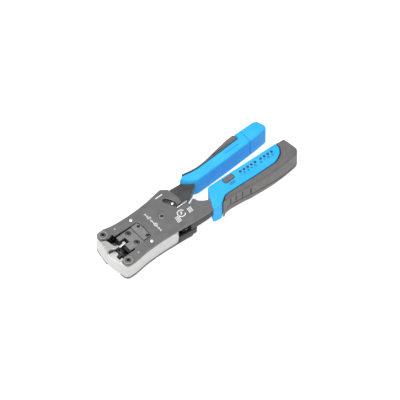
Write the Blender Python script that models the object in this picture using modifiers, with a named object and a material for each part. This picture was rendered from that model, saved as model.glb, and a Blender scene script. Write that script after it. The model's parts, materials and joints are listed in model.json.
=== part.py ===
"""Ratchet crimping tool for network plugs, with a cable tester in its handles.

The tool lies on its side: +Z up, +X from the nose to the handle ends, +Y towards the moving handle.
The origin is on the handle pivot's axis, at the underside of the head. Sizes are in millimetres
until they reach a mesh, where MM turns them into metres.
"""
import math

import bmesh
import bpy
from mathutils import Matrix, Vector

MM = 0.001

# Clearances
GAP = 0.3                 # between pieces that touch or slide
PIVOT_PLAY = 0.6          # round the ram pin, where the closed linkage is opened

# Head: thickness, plates and outline
HEAD_T = 23.0
PLATE_T = 2.2
NOSE_REACH = 58.3         # nose screws to handle pivot
NOSE_OVER = 9.4           # front edge of the nose ahead of its screws
WAIST_HALF = 21.2         # pivot line to the upper edge of the head at its narrowest
WAIST_EXTRA = 1.2         # the lower edge is this much further out
SCREW_Y = 19.3
SHOULDER_X = 18.2         # widest place behind the pivot
SHOULDER_RISE = 4.1
STRAP_T = 2.4
STRAP_END_X = 2.0

# Window, mouth and plug nest, measured back from the nose screws
WINDOW_END = 36.2
WINDOW_HALF = 11.3
NEST_START = 0.6
NEST_LOW = -13.6
NEST_HIGH = -1.9
MOUTH_HIGH = 2.2
MOUTH_LOW = -14.6
RAM_FRONT = 10.4

# Handle lever, link and ram
PIVOT_R = 3.5
CRANK = 9.0               # pivot to link pin
PIN_R = 2.0
LINK_T = 2.8
SECTOR_T = 5.2
RAM_HALF = 10.2
RAM_PIN_X = -21.0
RAM_PIN_Y = -4.5
DIE_SCREW_R = 2.8
DIE_SCREW_Y = 6.6
DIE_SCREW_SHIFT = 2.65    # ahead of the middle of the ram
GUIDE_R = 18.6            # pivot to guide pin
GUIDE_ANGLE = 17.0
SECTOR_R = 16.2           # tips of the ratchet teeth
PAWL_X = 15.0
PAWL_Y = -18.6
HANDLE_CLOSE = 4.0        # degrees from rest to closed
HANDLE_OPEN = 22.0        # degrees from rest to open

# Handles
HANDLE_RISE = 2.0         # handle faces stand above the head
LOWER_END = 152.4
UPPER_END = 146.2
REMOTE_X = 122.4
INNER_LOWER = -2.9        # inner face of the fixed handle at its front
INNER_UPPER = 9.2         # inner face of the moving handle at its front
SHELL_WALL = 2.6
JACK_HALF = 5.8           # half height of the main jack
FAR_JACK_HALF = 7.0       # half height of the far unit's jack
PAD_FRONT = 44.4          # front tip of the moving handle's pad
PAD_REAR = 115.4
HANDLE_SCREW_R = 1.1
HANDLE_SCREW_TOP = 8.0
HANDLE_SCREW_HEAD = 2.3

# Tester
BUTTON_X = 77.2
BUTTON_Y = -8.4
BUTTON_L = 12.5
BUTTON_W = 6.2
LAMP_R = 1.1
LAMP_PITCH = 4.5
LAMP_FIRST = 91.6
LAMP_BREAK = 2.4          # extra space after the fifth lamp

# Opening in the underside of the fixed handle, which the battery cover closes
COVER_X0 = 77.0
COVER_X1 = LOWER_END - 26.0
COVER_Y0 = -19.4
COVER_Y1 = -5.6
COVER_T = 1.6
BATTERY_T = 10.0

HANDLE_T = HEAD_T + HANDLE_RISE
HANDLE_MID = HANDLE_T / 2
FACE_LOW = HANDLE_T - SHELL_WALL   # underside of the handles' top wall
NOSE = -NOSE_REACH
SHANK_R = PIN_R + 0.6     # nose screws
WASHER_R = SHANK_R + 2.4
LOBE_R = SHANK_R + GAP + STRAP_T + 0.1   # round corners about the nose screws, outside the strap
CORE_LOW = PLATE_T + GAP
CORE_HIGH = HEAD_T - PLATE_T - GAP
SECTOR_LOW = CORE_LOW + 0.1
DIE_SCREW_X = (NOSE + RAM_FRONT + RAM_PIN_X) / 2 - DIE_SCREW_SHIFT
LINK_LOW = SECTOR_LOW + SECTOR_T + GAP
ARM_LOW = LINK_LOW + LINK_T + GAP
ARM_HIGH = CORE_HIGH - 0.1

COLORS = {
    "plate": ((0.16, 0.16, 0.165), 0.55, 0.75),
    "nose_steel": ((0.62, 0.62, 0.61), 0.38, 0.85),
    "bright_steel": ((0.70, 0.70, 0.70), 0.25, 1.0),
    "dark_steel": ((0.07, 0.07, 0.075), 0.45, 0.8),
    "die_steel": ((0.19, 0.19, 0.195), 0.5, 0.8),
    "black_plastic": ((0.015, 0.015, 0.016), 0.5, 0.0),
    "blue_plastic": ((0.02, 0.33, 0.86), 0.42, 0.0),
    "grey_rubber": ((0.17, 0.16, 0.155), 0.75, 0.0),
    "lamp": ((0.01, 0.05, 0.16), 0.2, 0.0),
    "board": ((0.02, 0.16, 0.06), 0.5, 0.0),
    "brass": ((0.72, 0.50, 0.18), 0.3, 1.0),
}


# ---------------------------------------------------------------- helpers
def clear_scene():
    for obj in list(bpy.data.objects):
        bpy.data.objects.remove(obj)
    for block in list(bpy.data.collections):
        bpy.data.collections.remove(block)


def new_collection(name):
    group = bpy.data.collections.new(name)
    bpy.context.scene.collection.children.link(group)
    return group


def material(slot):
    """Principled material for one finish, made once."""
    found = bpy.data.materials.get(slot)
    if found:
        return found
    colour, roughness, metallic = COLORS[slot]
    found = bpy.data.materials.new(slot)
    found.use_nodes = True
    shader = found.node_tree.nodes["Principled BSDF"]
    shader.inputs["Base Color"].default_value = (*colour, 1.0)
    shader.inputs["Roughness"].default_value = roughness
    shader.inputs["Metallic"].default_value = metallic
    found.diffuse_color = (*colour, 1.0)
    return found


def rounded(corners, step=22.0):
    """Outline from (x, y, radius) corners: each corner becomes an arc of that radius."""
    points = []
    count = len(corners)
    for i, (x, y, radius) in enumerate(corners):
        here = Vector((x, y))
        before = Vector(corners[i - 1][:2]) - here
        after = Vector(corners[(i + 1) % count][:2]) - here
        turn = math.pi - before.angle(after)
        if radius <= 0 or turn < math.radians(4):
            points.append((x, y))
            continue
        reach = radius * math.tan(turn / 2)
        reach = min(reach, before.length * 0.48, after.length * 0.48)
        radius = reach / math.tan(turn / 2)
        start = here + before.normalized() * reach
        bisector = (before.normalized() + after.normalized()).normalized()
        centre = here + bisector * math.hypot(radius, reach)
        spoke = start - centre
        sign = 1.0 if before.cross(after) < 0 else -1.0
        parts = max(1, round(math.degrees(turn) / step))
        for k in range(parts + 1):
            a = sign * turn * k / parts
            points.append((
                centre.x + spoke.x * math.cos(a) - spoke.y * math.sin(a),
                centre.y + spoke.x * math.sin(a) + spoke.y * math.cos(a),
            ))
    return points


def circle(x, y, radius, count=20):
    return [
        (x + radius * math.cos(math.tau * k / count), y + radius * math.sin(math.tau * k / count))
        for k in range(count)
    ]


def arc_slot(radius, half_width, start, end, count=8):
    """Curved slot about the pivot, from one angle to another in degrees, with round ends."""
    outer = []
    inner = []
    for k in range(count + 1):
        a = math.radians(start + (end - start) * k / count)
        outer.append(((radius + half_width) * math.cos(a), (radius + half_width) * math.sin(a)))
        inner.append(((radius - half_width) * math.cos(a), (radius - half_width) * math.sin(a)))
    caps = []
    for angle, turn in ((end, 1), (start, -1)):
        a = math.radians(angle)
        centre = Vector((radius * math.cos(a), radius * math.sin(a)))
        tip = []
        for k in range(1, 5):
            b = a + turn * math.pi * k / 5
            if turn < 0:
                b = a + math.pi + math.pi * k / 5
            tip.append((centre.x + half_width * math.cos(b), centre.y + half_width * math.sin(b)))
        caps.append(tip)
    return outer + caps[0] + inner[::-1] + caps[1]


def rectangle(x0, x1, y0, y1, radius=0.0):
    return rounded([(x0, y0, radius), (x1, y0, radius), (x1, y1, radius), (x0, y1, radius)])


def finish(obj, group, slot=None):
    """Put an object in its collection with its finish, shaded smooth over shallow edges."""
    for owner in list(obj.users_collection):
        owner.objects.unlink(obj)
    group.objects.link(obj)
    if slot:
        obj.data.materials.clear()
        obj.data.materials.append(material(slot))
        obj.data.shade_smooth()
        obj.data.set_sharp_from_angle(angle=math.radians(35))
    else:
        obj.hide_render = True
        obj.display_type = "WIRE"
    return obj


def slab(name, loops, low, high, group, slot=None):
    """Flat outline with holes, from a filled 2D curve, between two heights."""
    curve = bpy.data.curves.new(name + "_outline", "CURVE")
    curve.dimensions = "2D"
    curve.fill_mode = "BOTH"
    curve.extrude = (high - low) / 2 * MM
    for loop in loops:
        spline = curve.splines.new("POLY")
        spline.points.add(len(loop) - 1)
        for point, (x, y) in zip(spline.points, loop):
            point.co = (x * MM, y * MM, 0, 1)
        spline.use_cyclic_u = True
    outline = bpy.data.objects.new(name + "_outline", curve)
    bpy.context.scene.collection.objects.link(outline)
    depsgraph = bpy.context.evaluated_depsgraph_get()
    mesh = bpy.data.meshes.new_from_object(outline.evaluated_get(depsgraph))
    mesh.name = name
    bpy.data.objects.remove(outline)
    mesh.transform(Matrix.Translation((0, 0, (low + high) / 2 * MM)))
    work = bmesh.new()
    work.from_mesh(mesh)
    bmesh.ops.remove_doubles(work, verts=work.verts, dist=0.00001)
    if len(loops) == 1:
        bmesh.ops.dissolve_limit(work, angle_limit=0.002, verts=work.verts, edges=work.edges)
    bmesh.ops.recalc_face_normals(work, faces=work.faces)
    work.to_mesh(mesh)
    work.free()
    return finish(bpy.data.objects.new(name, mesh), group, slot)


def round_bar(name, x, y, radius, low, high, group, slot=None, sides=20):
    """Upright cylinder."""
    work = bmesh.new()
    place = Matrix.Translation((x * MM, y * MM, (low + high) / 2 * MM))
    bmesh.ops.create_cone(
        work, cap_ends=True, segments=sides, radius1=radius * MM, radius2=radius * MM,
        depth=(high - low) * MM, matrix=place,
    )
    mesh = bpy.data.meshes.new(name)
    work.to_mesh(mesh)
    work.free()
    return finish(bpy.data.objects.new(name, mesh), group, slot)


def block(name, box, group, slot=None):
    """Box from ((x0, x1), (y0, y1), (z0, z1))."""
    centre = Vector([(low + high) / 2 * MM for low, high in box])
    size = Vector([(high - low) * MM for low, high in box])
    work = bmesh.new()
    bmesh.ops.create_cube(work, size=1.0, matrix=Matrix.Translation(centre) @ Matrix.Diagonal(size).to_4x4())
    mesh = bpy.data.meshes.new(name)
    work.to_mesh(mesh)
    work.free()
    return finish(bpy.data.objects.new(name, mesh), group, slot)


def turned(name, x, y, profile, group, slot, sides=24):
    """Turned piece: a profile of (radius, height) from its top down, spun about an upright axis."""
    mesh = bpy.data.meshes.new(name)
    mesh.from_pydata([(r * MM, 0, z * MM) for r, z in profile],
                     [(k, k + 1) for k in range(len(profile) - 1)], [])
    obj = finish(bpy.data.objects.new(name, mesh), group, slot)
    obj.location = (x * MM, y * MM, 0)
    spin = obj.modifiers.new("spin", "SCREW")
    spin.angle = math.tau
    spin.steps = sides
    spin.render_steps = sides
    spin.use_merge_vertices = True
    spin.merge_threshold = 0.00001
    spin.use_smooth_shade = True
    return obj


def soften(obj, width, segments=2, angle=40.0):
    edge = obj.modifiers.new("edge", "BEVEL")
    edge.width = width * MM
    edge.segments = segments
    edge.limit_method = "ANGLE"
    edge.angle_limit = math.radians(angle)
    return obj


def cut(obj, cutter, operation="DIFFERENCE"):
    step = obj.modifiers.new(cutter.name, "BOOLEAN")
    step.operation = operation
    step.object = cutter
    step.solver = "EXACT"
    return obj


def carry(axis_name, x, y, z, pieces, group):
    """Parent the pieces of a moving body to an empty on its joint's axis."""
    empty = bpy.data.objects.new(axis_name, None)
    group.objects.link(empty)
    empty.location = (x * MM, y * MM, z * MM)
    back = Matrix.Translation(-empty.location)
    for piece in pieces:
        piece.parent = empty
        piece.matrix_parent_inverse = back
    return empty


# ---------------------------------------------------------------- head outline
def waist(side):
    """Half width of the head at its narrowest, above or below the pivot line."""
    return WAIST_HALF + (WAIST_EXTRA if side < 0 else 0.0)


def side_edge(side):
    """Long edge of the head from the nose lobe to the shoulder, as (x, y, radius) corners."""
    rises = ((0.83, 1.8, 12), (0.66, 0.5, 30), (0.45, 0.0, 40), (0.23, 0.2, 40), (0.0, 1.2, 40))
    edge = [(NOSE - LOBE_R - 0.3, side * (SCREW_Y + LOBE_R), LOBE_R)]
    edge.append((NOSE + LOBE_R, side * (SCREW_Y + LOBE_R), LOBE_R))
    edge += [(-NOSE_REACH * t, side * (waist(side) + rise), radius) for t, rise, radius in rises]
    edge.append((SHOULDER_X * 0.63, side * (WAIST_HALF + 3.1), 20))
    edge.append((SHOULDER_X, side * (WAIST_HALF + SHOULDER_RISE), 3))
    return edge


def mouth_edge():
    """Front notch and window of the top plate, from the upper screw lobe round to the lower one."""
    top = WINDOW_HALF
    return [
        (NOSE - LOBE_R - 0.1, SCREW_Y - 3.4, 3.0), (NOSE - 1.2, top + 2.5, 1.5), (NOSE + 2.4, top + 1.6, 2.0),
        (NOSE + 7.6, top + 3.2, 0.5), (NOSE + 8.0, top + 0.2, 0.5),
        (NOSE + WINDOW_END - 1.4, top - 1.0, 0.8), (NOSE + WINDOW_END - 0.2, top - 3.6, 0.8),
        (NOSE + WINDOW_END + 0.8, 0.5, 1.5), (NOSE + WINDOW_END - 0.2, 3.4 - top, 0.8),
        (NOSE + WINDOW_END - 0.8, -top, 0.8), (NOSE + 15.4, -top, 0.6),
        (NOSE + 13.0, NEST_LOW, 0.6), (NOSE + 2.6, NEST_LOW, 1.2), (NOSE + 1.2, MOUTH_LOW, 0.8),
        (NOSE - 1.5, MOUTH_LOW, 1.5), (NOSE - LOBE_R - 0.1, 3.4 - SCREW_Y, 2.0),
    ]


def tang_edge(grow=0.0):
    """Outer edge of the fixed arm as it runs from the shoulder into its handle."""
    return [
        (38.0, -26.2 - grow, 20), (46.0, -25.2 - grow, 5), (54.0, -21.0 - grow, 5), (58.0, -19.4 - grow, 5),
    ]


def arm_edge():
    """Rear of the top plate: tang of the fixed handle, slit and rear corner above the lever."""
    return tang_edge() + [
        (60.0, -19.2, 1), (60.0, -15.0, 1), (48.0, -14.6, 1), (42.5, -11.6, 2), (38.4, -8.0, 1.5),
        (37.6, -4.4, 1.0), (36.0, -3.2, 0.8), (30.0, -6.2, 1.0),
        (28.6, -3.2, 0.8), (17.6, -3.2, 0.6), (17.6, 0.9, 0.6), (25.6, 0.9, 0.8), (26.4, 9.0, 4.0),
        (24.4, 20.6, 1.5),
    ]


def top_outline():
    lower = side_edge(-1)
    upper = side_edge(1)[::-1]
    return rounded(mouth_edge() + lower + arm_edge() + upper)


def bottom_outline():
    """Bottom plate: the same head, cut straight behind the shoulder, with a plain mouth."""
    lower = side_edge(-1)
    upper = side_edge(1)[::-1]
    rear = [(SHOULDER_X + 3.4, -WAIST_HALF - 1.0, 2), (SHOULDER_X + 3.4, WAIST_HALF + 1.0, 2)]
    mouth = [
        (NOSE - NOSE_OVER, MOUTH_HIGH, 0.8), (NOSE - 2.0, MOUTH_HIGH, 2.0), (NOSE - 2.0, MOUTH_LOW, 2.0),
        (NOSE - 7.0, MOUTH_LOW, 0.8),
    ]
    return rounded(mouth + lower + rear + upper)


def screw_holes(radius):
    return [circle(NOSE, side * SCREW_Y, radius) for side in (1, -1)]


def dowel_places():
    return [(NOSE + 32.4, side * 15.9) for side in (1, -1)]


def top_plate(group):
    loops = [top_outline()]
    loops += screw_holes(SHANK_R + GAP)
    loops += [circle(x, y, PIN_R + GAP) for x, y in dowel_places()]
    loops.append(circle(0, 0, PIVOT_R + GAP, 24))
    loops.append(arc_slot(GUIDE_R, 2.6, GUIDE_ANGLE - HANDLE_CLOSE - 2, GUIDE_ANGLE + HANDLE_OPEN + 2))
    plate = slab("top_plate", loops, HEAD_T - PLATE_T, HEAD_T, group, "plate")
    return soften(plate, 0.35, 1, 60)


def bottom_plate(group, cutters):
    loops = [bottom_outline()]
    loops += screw_holes(SHANK_R + GAP)
    loops += [circle(x, y, PIN_R + GAP) for x, y in dowel_places()]
    nest = rectangle(NOSE + NEST_START, NOSE + 9.6, NEST_LOW, NEST_HIGH, 0.6)
    loops.append(nest)
    plate = slab("bottom_plate", loops, 0, PLATE_T, group, "plate")
    pocket = round_bar("pivot_pocket", 0, 0, PIVOT_R + GAP, PLATE_T / 2, PLATE_T + 1, cutters)
    return cut(plate, pocket)


# ---------------------------------------------------------------- nose
def inset_path(points, distance):
    """Open path moved sideways to its left by a distance."""
    moved = []
    for i, (x, y) in enumerate(points):
        x0, y0 = points[max(i - 1, 0)]
        x1, y1 = points[min(i + 1, len(points) - 1)]
        along = Vector((x1 - x0, y1 - y0)).normalized()
        moved.append((x - along.y * distance, y + along.x * distance))
    return moved


def nose_band():
    """U-shaped wall just inside the plates' edge, from one side round the nose to the other."""
    corners = [(STRAP_END_X, waist(1) + 1.2, 0)]
    corners += [c for c in side_edge(1)[::-1] if c[0] < STRAP_END_X - 2]
    corners.append((NOSE - NOSE_OVER, MOUTH_HIGH + 3, 12))
    corners.append((NOSE - NOSE_OVER, -MOUTH_HIGH - 3, 12))
    corners += [c for c in side_edge(-1) if c[0] < STRAP_END_X - 2]
    corners.append((STRAP_END_X, -waist(-1) - 1.2, 0))
    path = rounded(corners, 15)
    outer = inset_path(path, 0.2)
    inner = inset_path(path, 0.2 + STRAP_T)
    return outer + inner[::-1]


def cheek_outline():
    """Flat top of the nose above the mouth, with the thin lip that reaches over the nest."""
    top = WINDOW_HALF
    front = NOSE - NOSE_OVER
    return rounded([
        (front + 0.5, MOUTH_HIGH, 0.5), (NOSE - 4.5, MOUTH_HIGH - 0.4, 3.0), (NOSE - 0.6, -0.9, 2.0),
        (NOSE + 4.1, -0.9, 0.2), (NOSE + 4.1, 1.2, 0.2), (NOSE + 0.8, 2.2, 1.0), (NOSE - 0.4, 6.6, 1.5),
        (NOSE - 0.8, 9.8, 1.0), (NOSE - 1.7, top + 1.5, 1.0), (NOSE - 6.2, SCREW_Y - 4.2, 1.0),
        (front + 2.3, SCREW_Y - 4.6, 1.0), (front + 0.5, MOUTH_HIGH + 3, 8),
    ])


def nose_frame(group, cutters):
    """Light steel nose: a strap, the cheek above the mouth, and the ramp that leads a cable in."""
    frame = slab("nose_frame", [nose_band()], CORE_LOW, CORE_HIGH, group, "nose_steel")
    ramp_outline = rounded([
        (NOSE - NOSE_OVER + 1.2, MOUTH_LOW + 0.6, 1), (NOSE + NEST_START - GAP, MOUTH_LOW + 0.6, 0),
        (NOSE + NEST_START - GAP, -9.9, 0), (NOSE - 3.4, -9.9, 0), (NOSE - 3.4, -6.1, 0),
        (NOSE + NEST_START - GAP, -6.1, 0), (NOSE + NEST_START - GAP, MOUTH_HIGH - 0.8, 0),
        (NOSE - NOSE_OVER + 1.2, MOUTH_HIGH - 0.8, 1),
    ])
    ramp = slab("nose_ramp", [ramp_outline], CORE_LOW + 0.01, CORE_HIGH - 2.5, cutters)
    scoop = block("mouth_scoop", (
        (NOSE - NOSE_OVER - 4, NOSE - 4.5), (MOUTH_LOW + 0.6, MOUTH_HIGH - 0.8),
        (CORE_HIGH - 2.5, CORE_HIGH + 5)), cutters)
    cut(frame, scoop)
    cut(frame, ramp, "UNION")
    root_outline = rectangle(NOSE - NOSE_OVER + 1.2, NOSE + NEST_START - GAP, MOUTH_HIGH, WINDOW_HALF + 1.0)
    root = slab("nose_root", [root_outline], CORE_LOW + 0.02, CORE_HIGH + GAP + 0.05, cutters)
    cut(frame, root, "UNION")
    cheek = slab("nose_cheek", [cheek_outline()], CORE_HIGH + GAP, HEAD_T - 0.1, cutters)
    return cut(frame, cheek, "UNION")


def nest_die(group):
    """Black plastic block with the plug nest and the finger that stops the plug's shoulder."""
    x0 = NOSE + NEST_START
    outline = [
        (x0, MOUTH_LOW - 1.2), (x0 + 12.4, MOUTH_LOW - 1.2), (x0 + 12.4, NEST_LOW - 0.1),
        (x0 + 0.6, NEST_LOW - 0.1), (x0 + 0.6, NEST_HIGH), (x0 + 3.6, NEST_HIGH), (x0 + 3.6, 6.8),
        (x0, 6.8), (x0, -6.4), (x0 - 3.6, -6.4), (x0 - 3.6, -9.6), (x0, -9.6),
    ]
    return slab("nest_die", [outline], CORE_LOW, CORE_HIGH, group, "black_plastic")


def strip_blade(group):
    """Bright cutting blade that stands in the ram's notch."""
    x0 = NOSE + NEST_START + 3.6 + GAP
    outline = [(x0, -1.0), (x0 + 8.0, -1.0), (x0 + 8.0, 2.4), (x0 + 5.4, 2.4), (x0 + 4.6, 1.2), (x0, 1.2)]
    return slab("strip_blade", [outline], CORE_LOW + 7, CORE_HIGH - 0.2, group, "bright_steel")


def nose_hardware(group):
    """Socket screws with raised washers at the nose corners, and the flush dowels behind them."""
    made = []
    for side, word in ((1, "upper"), (-1, "lower")):
        y = side * SCREW_Y
        made.append(turned("nose_washer_" + word, NOSE, y, [
            (SHANK_R + GAP, HEAD_T + 0.9), (WASHER_R - 0.4, HEAD_T + 0.9), (WASHER_R, HEAD_T + 0.6),
            (WASHER_R, HEAD_T + GAP),
            (SHANK_R + GAP, HEAD_T + GAP), (SHANK_R + GAP, HEAD_T + 0.9)], group, "plate"))
        made.append(turned("nose_screw_" + word, NOSE, y, [
            (0, HEAD_T - 1.0), (1.6, HEAD_T - 0.8), (1.6, HEAD_T + 0.8), (SHANK_R - 0.4, HEAD_T + 0.8),
            (SHANK_R, HEAD_T + 0.5), (SHANK_R, 0.4), (SHANK_R - 0.4, 0.1), (0, 0.1)], group, "dark_steel"))
    for (x, y), word in zip(dowel_places(), ("upper", "lower")):
        made.append(turned("dowel_pin_" + word, x, y, [
            (0, HEAD_T), (PIN_R - 0.3, HEAD_T), (PIN_R, HEAD_T - 0.3), (PIN_R, 0.4), (PIN_R - 0.3, 0.1),
            (0, 0.1)], group, "bright_steel"))
    return made


def guide_rails(group):
    made = []
    for side, word in ((1, "upper"), (-1, "lower")):
        y0 = side * (RAM_HALF + GAP)
        y1 = side * (RAM_HALF + GAP + 2.6)
        span = sorted((y0, y1))
        front = NOSE + NEST_START + 14.0
        box = ((front, RAM_PIN_X + 3.0), span, (CORE_LOW, CORE_HIGH))
        made.append(block("guide_rail_" + word, box, group, "dark_steel"))
    return made


def keeper_plate(group):
    """Thin plate across the rear of the window that holds the ram down, with its two rivets."""
    rear = NOSE + WINDOW_END
    outline = rounded([
        (rear - 9.0, 1.2 - WINDOW_HALF, 0.4), (rear - 1.6, 1.2 - WINDOW_HALF, 0.8),
        (rear - 0.8, 3.6 - WINDOW_HALF, 0.6), (rear + 0.1, 0.5, 1.2),
        (rear - 0.8, WINDOW_HALF - 4.0, 0.6), (rear - 2.0, WINDOW_HALF - 1.6, 0.6),
        (rear - 9.0, WINDOW_HALF - 1.6, 0.4),
    ])
    holes = [circle(rear - 2.9, y, 1.4 + GAP, 14) for y in (5.8, -7.8)]
    plate = slab("keeper_plate", [outline] + holes, CORE_HIGH + GAP + 0.1, HEAD_T - 0.6, group, "die_steel")
    rivets = []
    for y, word in ((5.8, "upper"), (-7.8, "lower")):
        rivets.append(round_bar("keeper_rivet_" + word, rear - 2.9, y, 1.4, CORE_HIGH + GAP + 0.1,
                                HEAD_T - 0.3, group, "dark_steel", 14))
    return [plate] + rivets


def pivot_screw(group):
    """Shouldered screw that the handle lever turns on, with its drive recess."""
    return turned("pivot_screw", 0, 0, [
        (0, HEAD_T - 1.4), (1.9, HEAD_T - 1.2), (2.1, HEAD_T - 0.1), (PIVOT_R - 0.4, HEAD_T - 0.1),
        (PIVOT_R, HEAD_T - 0.5), (PIVOT_R, PLATE_T / 2 + GAP), (0, PLATE_T / 2 + GAP)],
        group, "dark_steel", 32)


# ---------------------------------------------------------------- ram
def ram(group, cutters):
    """Sliding die carriage: notched front, clevis slot at the rear for the link."""
    front = NOSE + RAM_FRONT
    outline = [
        (front, -RAM_HALF), (RAM_PIN_X + 3.6, -RAM_HALF), (RAM_PIN_X + 3.6, RAM_HALF),
        (front - 1.2, RAM_HALF), (front - 1.2, 5.2), (front + 5.8, 5.2), (front + 5.8, -1.6),
        (front, -1.6),
    ]
    hole = circle(RAM_PIN_X, RAM_PIN_Y, PIN_R + GAP)
    bores = [circle(DIE_SCREW_X, y, DIE_SCREW_R + GAP) for y in (DIE_SCREW_Y, -DIE_SCREW_Y)]
    body = slab("ram_carriage", [outline, hole] + bores, CORE_LOW + 0.1, CORE_HIGH - 0.1, group, "die_steel")
    clevis = block("clevis_slot", (
        (RAM_PIN_X - 5.2, RAM_PIN_X + 9), (-RAM_HALF - 2, RAM_HALF + 2),
        (LINK_LOW - GAP, LINK_LOW + LINK_T + GAP)), cutters)
    return cut(body, clevis)


def contact_punch(group):
    """Comb of teeth that presses a plug's contacts: eight teeth on one bar."""
    front = NOSE + RAM_FRONT
    pitch = 1.02
    x1 = front - GAP
    points = [(x1, NEST_LOW + 3.7 + 8.3), (x1, NEST_LOW + 3.7)]
    for k in range(8):
        y = NEST_LOW + 3.9 + k * pitch
        points += [(x1 - 1.2, y), (x1 - 2.0, y), (x1 - 2.0, y + 0.5), (x1 - 1.2, y + 0.5)]
    return slab("contact_punch", [points], CORE_LOW + 6, CORE_HIGH - 2.4, group, "bright_steel")


def die_screws(group):
    made = []
    for y, word in ((DIE_SCREW_Y, "upper"), (-DIE_SCREW_Y, "lower")):
        top = CORE_HIGH - 0.1
        made.append(turned("die_screw_" + word, DIE_SCREW_X, y, [
            (0, top - 1.2), (1.2, top - 1.1), (1.5, top - 0.2), (DIE_SCREW_R - 0.4, top - 0.2),
            (DIE_SCREW_R, top - 0.6), (DIE_SCREW_R, CORE_LOW + 1), (0, CORE_LOW + 1)],
            group, "dark_steel", 20))
    return made


def ram_pin(group):
    return round_bar("ram_pin", RAM_PIN_X, RAM_PIN_Y, PIN_R, CORE_LOW + 0.2, CORE_HIGH - 0.2, group,
                     "bright_steel", 16)


def link(group):
    """Flat drive link from the lever's crank to the ram."""
    start = Vector((0, -CRANK))
    end = Vector((RAM_PIN_X, RAM_PIN_Y))
    along = (end - start).normalized()
    across = Vector((-along.y, along.x))
    outline = []
    for centre, radius, base in ((start, 3.9, -1), (end, 4.4, 1)):
        for k in range(9):
            a = -math.pi / 2 + math.pi * k / 8
            spoke = along * (base * math.cos(a)) + across * (base * math.sin(a))
            point = centre + spoke * radius
            outline.append((point.x, point.y))
    holes = [circle(start.x, start.y, PIN_R + GAP, 16), circle(end.x, end.y, PIN_R + PIVOT_PLAY, 16)]
    return slab("drive_link", [outline] + holes, LINK_LOW, LINK_LOW + LINK_T, group, "die_steel")


# ---------------------------------------------------------------- lever and ratchet
def lever_arm(group):
    """Handle lever: hub, crank ear and the arm that runs into the moving handle."""
    outline = rounded([
        (-8.0, 3.0, 6), (-6.0, -6.0, 4), (-4.4, -CRANK - 4.2, 4), (4.4, -CRANK - 4.2, 4), (9.0, -3.6, 3),
        (18.0, -0.4, 2), (34.6, 1.3, 3), (42.6, 4.4, 3), (50.0, 10.6, 2), (60.0, 13.0, 2),
        (76.0, 13.4, 2), (76.0, 19.6, 2), (58.0, 19.2, 3), (37.0, 19.4, 4), (27.6, 20.4, 3),
        (12.0, 17.4, 12), (-4.0, 8.6, 5),
    ])
    holes = [circle(0, 0, PIVOT_R + GAP, 24), circle(0, -CRANK, PIN_R + GAP, 16)]
    a = math.radians(GUIDE_ANGLE)
    holes.append(circle(GUIDE_R * math.cos(a), GUIDE_R * math.sin(a), 1.6 + GAP, 14))
    return soften(slab("lever_arm", [outline] + holes, ARM_LOW, ARM_HIGH, group, "plate"), 0.3, 1, 60)


def sector_teeth():
    """Outer edge of the ratchet sector: saw teeth between two angles below the pivot."""
    points = []
    first = -100.0
    pitch = 6.0
    for k in range(9):
        a = math.radians(first + k * pitch)
        b = math.radians(first + k * pitch + pitch * 0.85)
        points.append(((SECTOR_R - 1.2) * math.cos(a), (SECTOR_R - 1.2) * math.sin(a)))
        points.append((SECTOR_R * math.cos(b), SECTOR_R * math.sin(b)))
    return points


def ratchet_sector(group):
    """Toothed plate fixed under the lever: it carries the other end of the crank pin."""
    hub = []
    for k in range(13):
        a = math.radians(-40 + 215 * k / 12)
        hub.append((7.4 * math.cos(a), 7.4 * math.sin(a)))
    outline = sector_teeth() + hub + [(-6.6, -CRANK - 1.0), (-4.4, -CRANK - 4.0)]
    holes = [circle(0, 0, PIVOT_R + GAP, 24), circle(0, -CRANK, PIN_R + GAP, 16)]
    return slab("ratchet_sector", [outline] + holes, SECTOR_LOW, SECTOR_LOW + SECTOR_T, group, "die_steel")


def crank_pin(group):
    return round_bar("crank_pin", 0, -CRANK, PIN_R, SECTOR_LOW + 0.2, ARM_HIGH - 0.2, group,
                     "bright_steel", 16)


def guide_pin(group):
    """Bright pin on the lever that shows in the top plate's curved slot."""
    a = math.radians(GUIDE_ANGLE)
    return turned("guide_pin", GUIDE_R * math.cos(a), GUIDE_R * math.sin(a), [
        (0, HEAD_T - 0.4), (1.2, HEAD_T - 0.4), (1.6, HEAD_T - 0.8), (1.6, ARM_LOW + 1.2),
        (0, ARM_LOW + 1.2)], group, "bright_steel", 16)


def ratchet_pawl(group):
    """Spring-loaded catch that rides on the sector's teeth."""
    outline = rounded([
        (PAWL_X - 2.7, PAWL_Y - 2.7, 2.7), (PAWL_X + 2.7, PAWL_Y - 2.7, 2.7),
        (PAWL_X + 2.7, PAWL_Y + 2.0, 1.5), (PAWL_X - 4.6, PAWL_Y + 5.4, 0.4),
        (PAWL_X - 5.8, PAWL_Y + 4.2, 0.4),
    ])
    hole = circle(PAWL_X, PAWL_Y, 1.5 + GAP, 14)
    return slab("ratchet_pawl", [outline, hole], SECTOR_LOW + 0.2, SECTOR_LOW + SECTOR_T - 0.2, group,
                "die_steel")


def pawl_pin(group):
    return round_bar("pawl_pin", PAWL_X, PAWL_Y, 1.5, CORE_LOW + 0.1, SECTOR_LOW + SECTOR_T + 1.4, group,
                     "bright_steel", 14)


def leaf_spring(group):
    """Flat strip spring that lies in the slit between the lever and the fixed arm."""
    outline = [(17.9, -1.5), (30.6, -1.5), (30.6, -0.7), (17.9, -0.7)]
    return slab("leaf_spring", [outline], HEAD_T - 1.9, HEAD_T - 0.5, group, "bright_steel")


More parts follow.
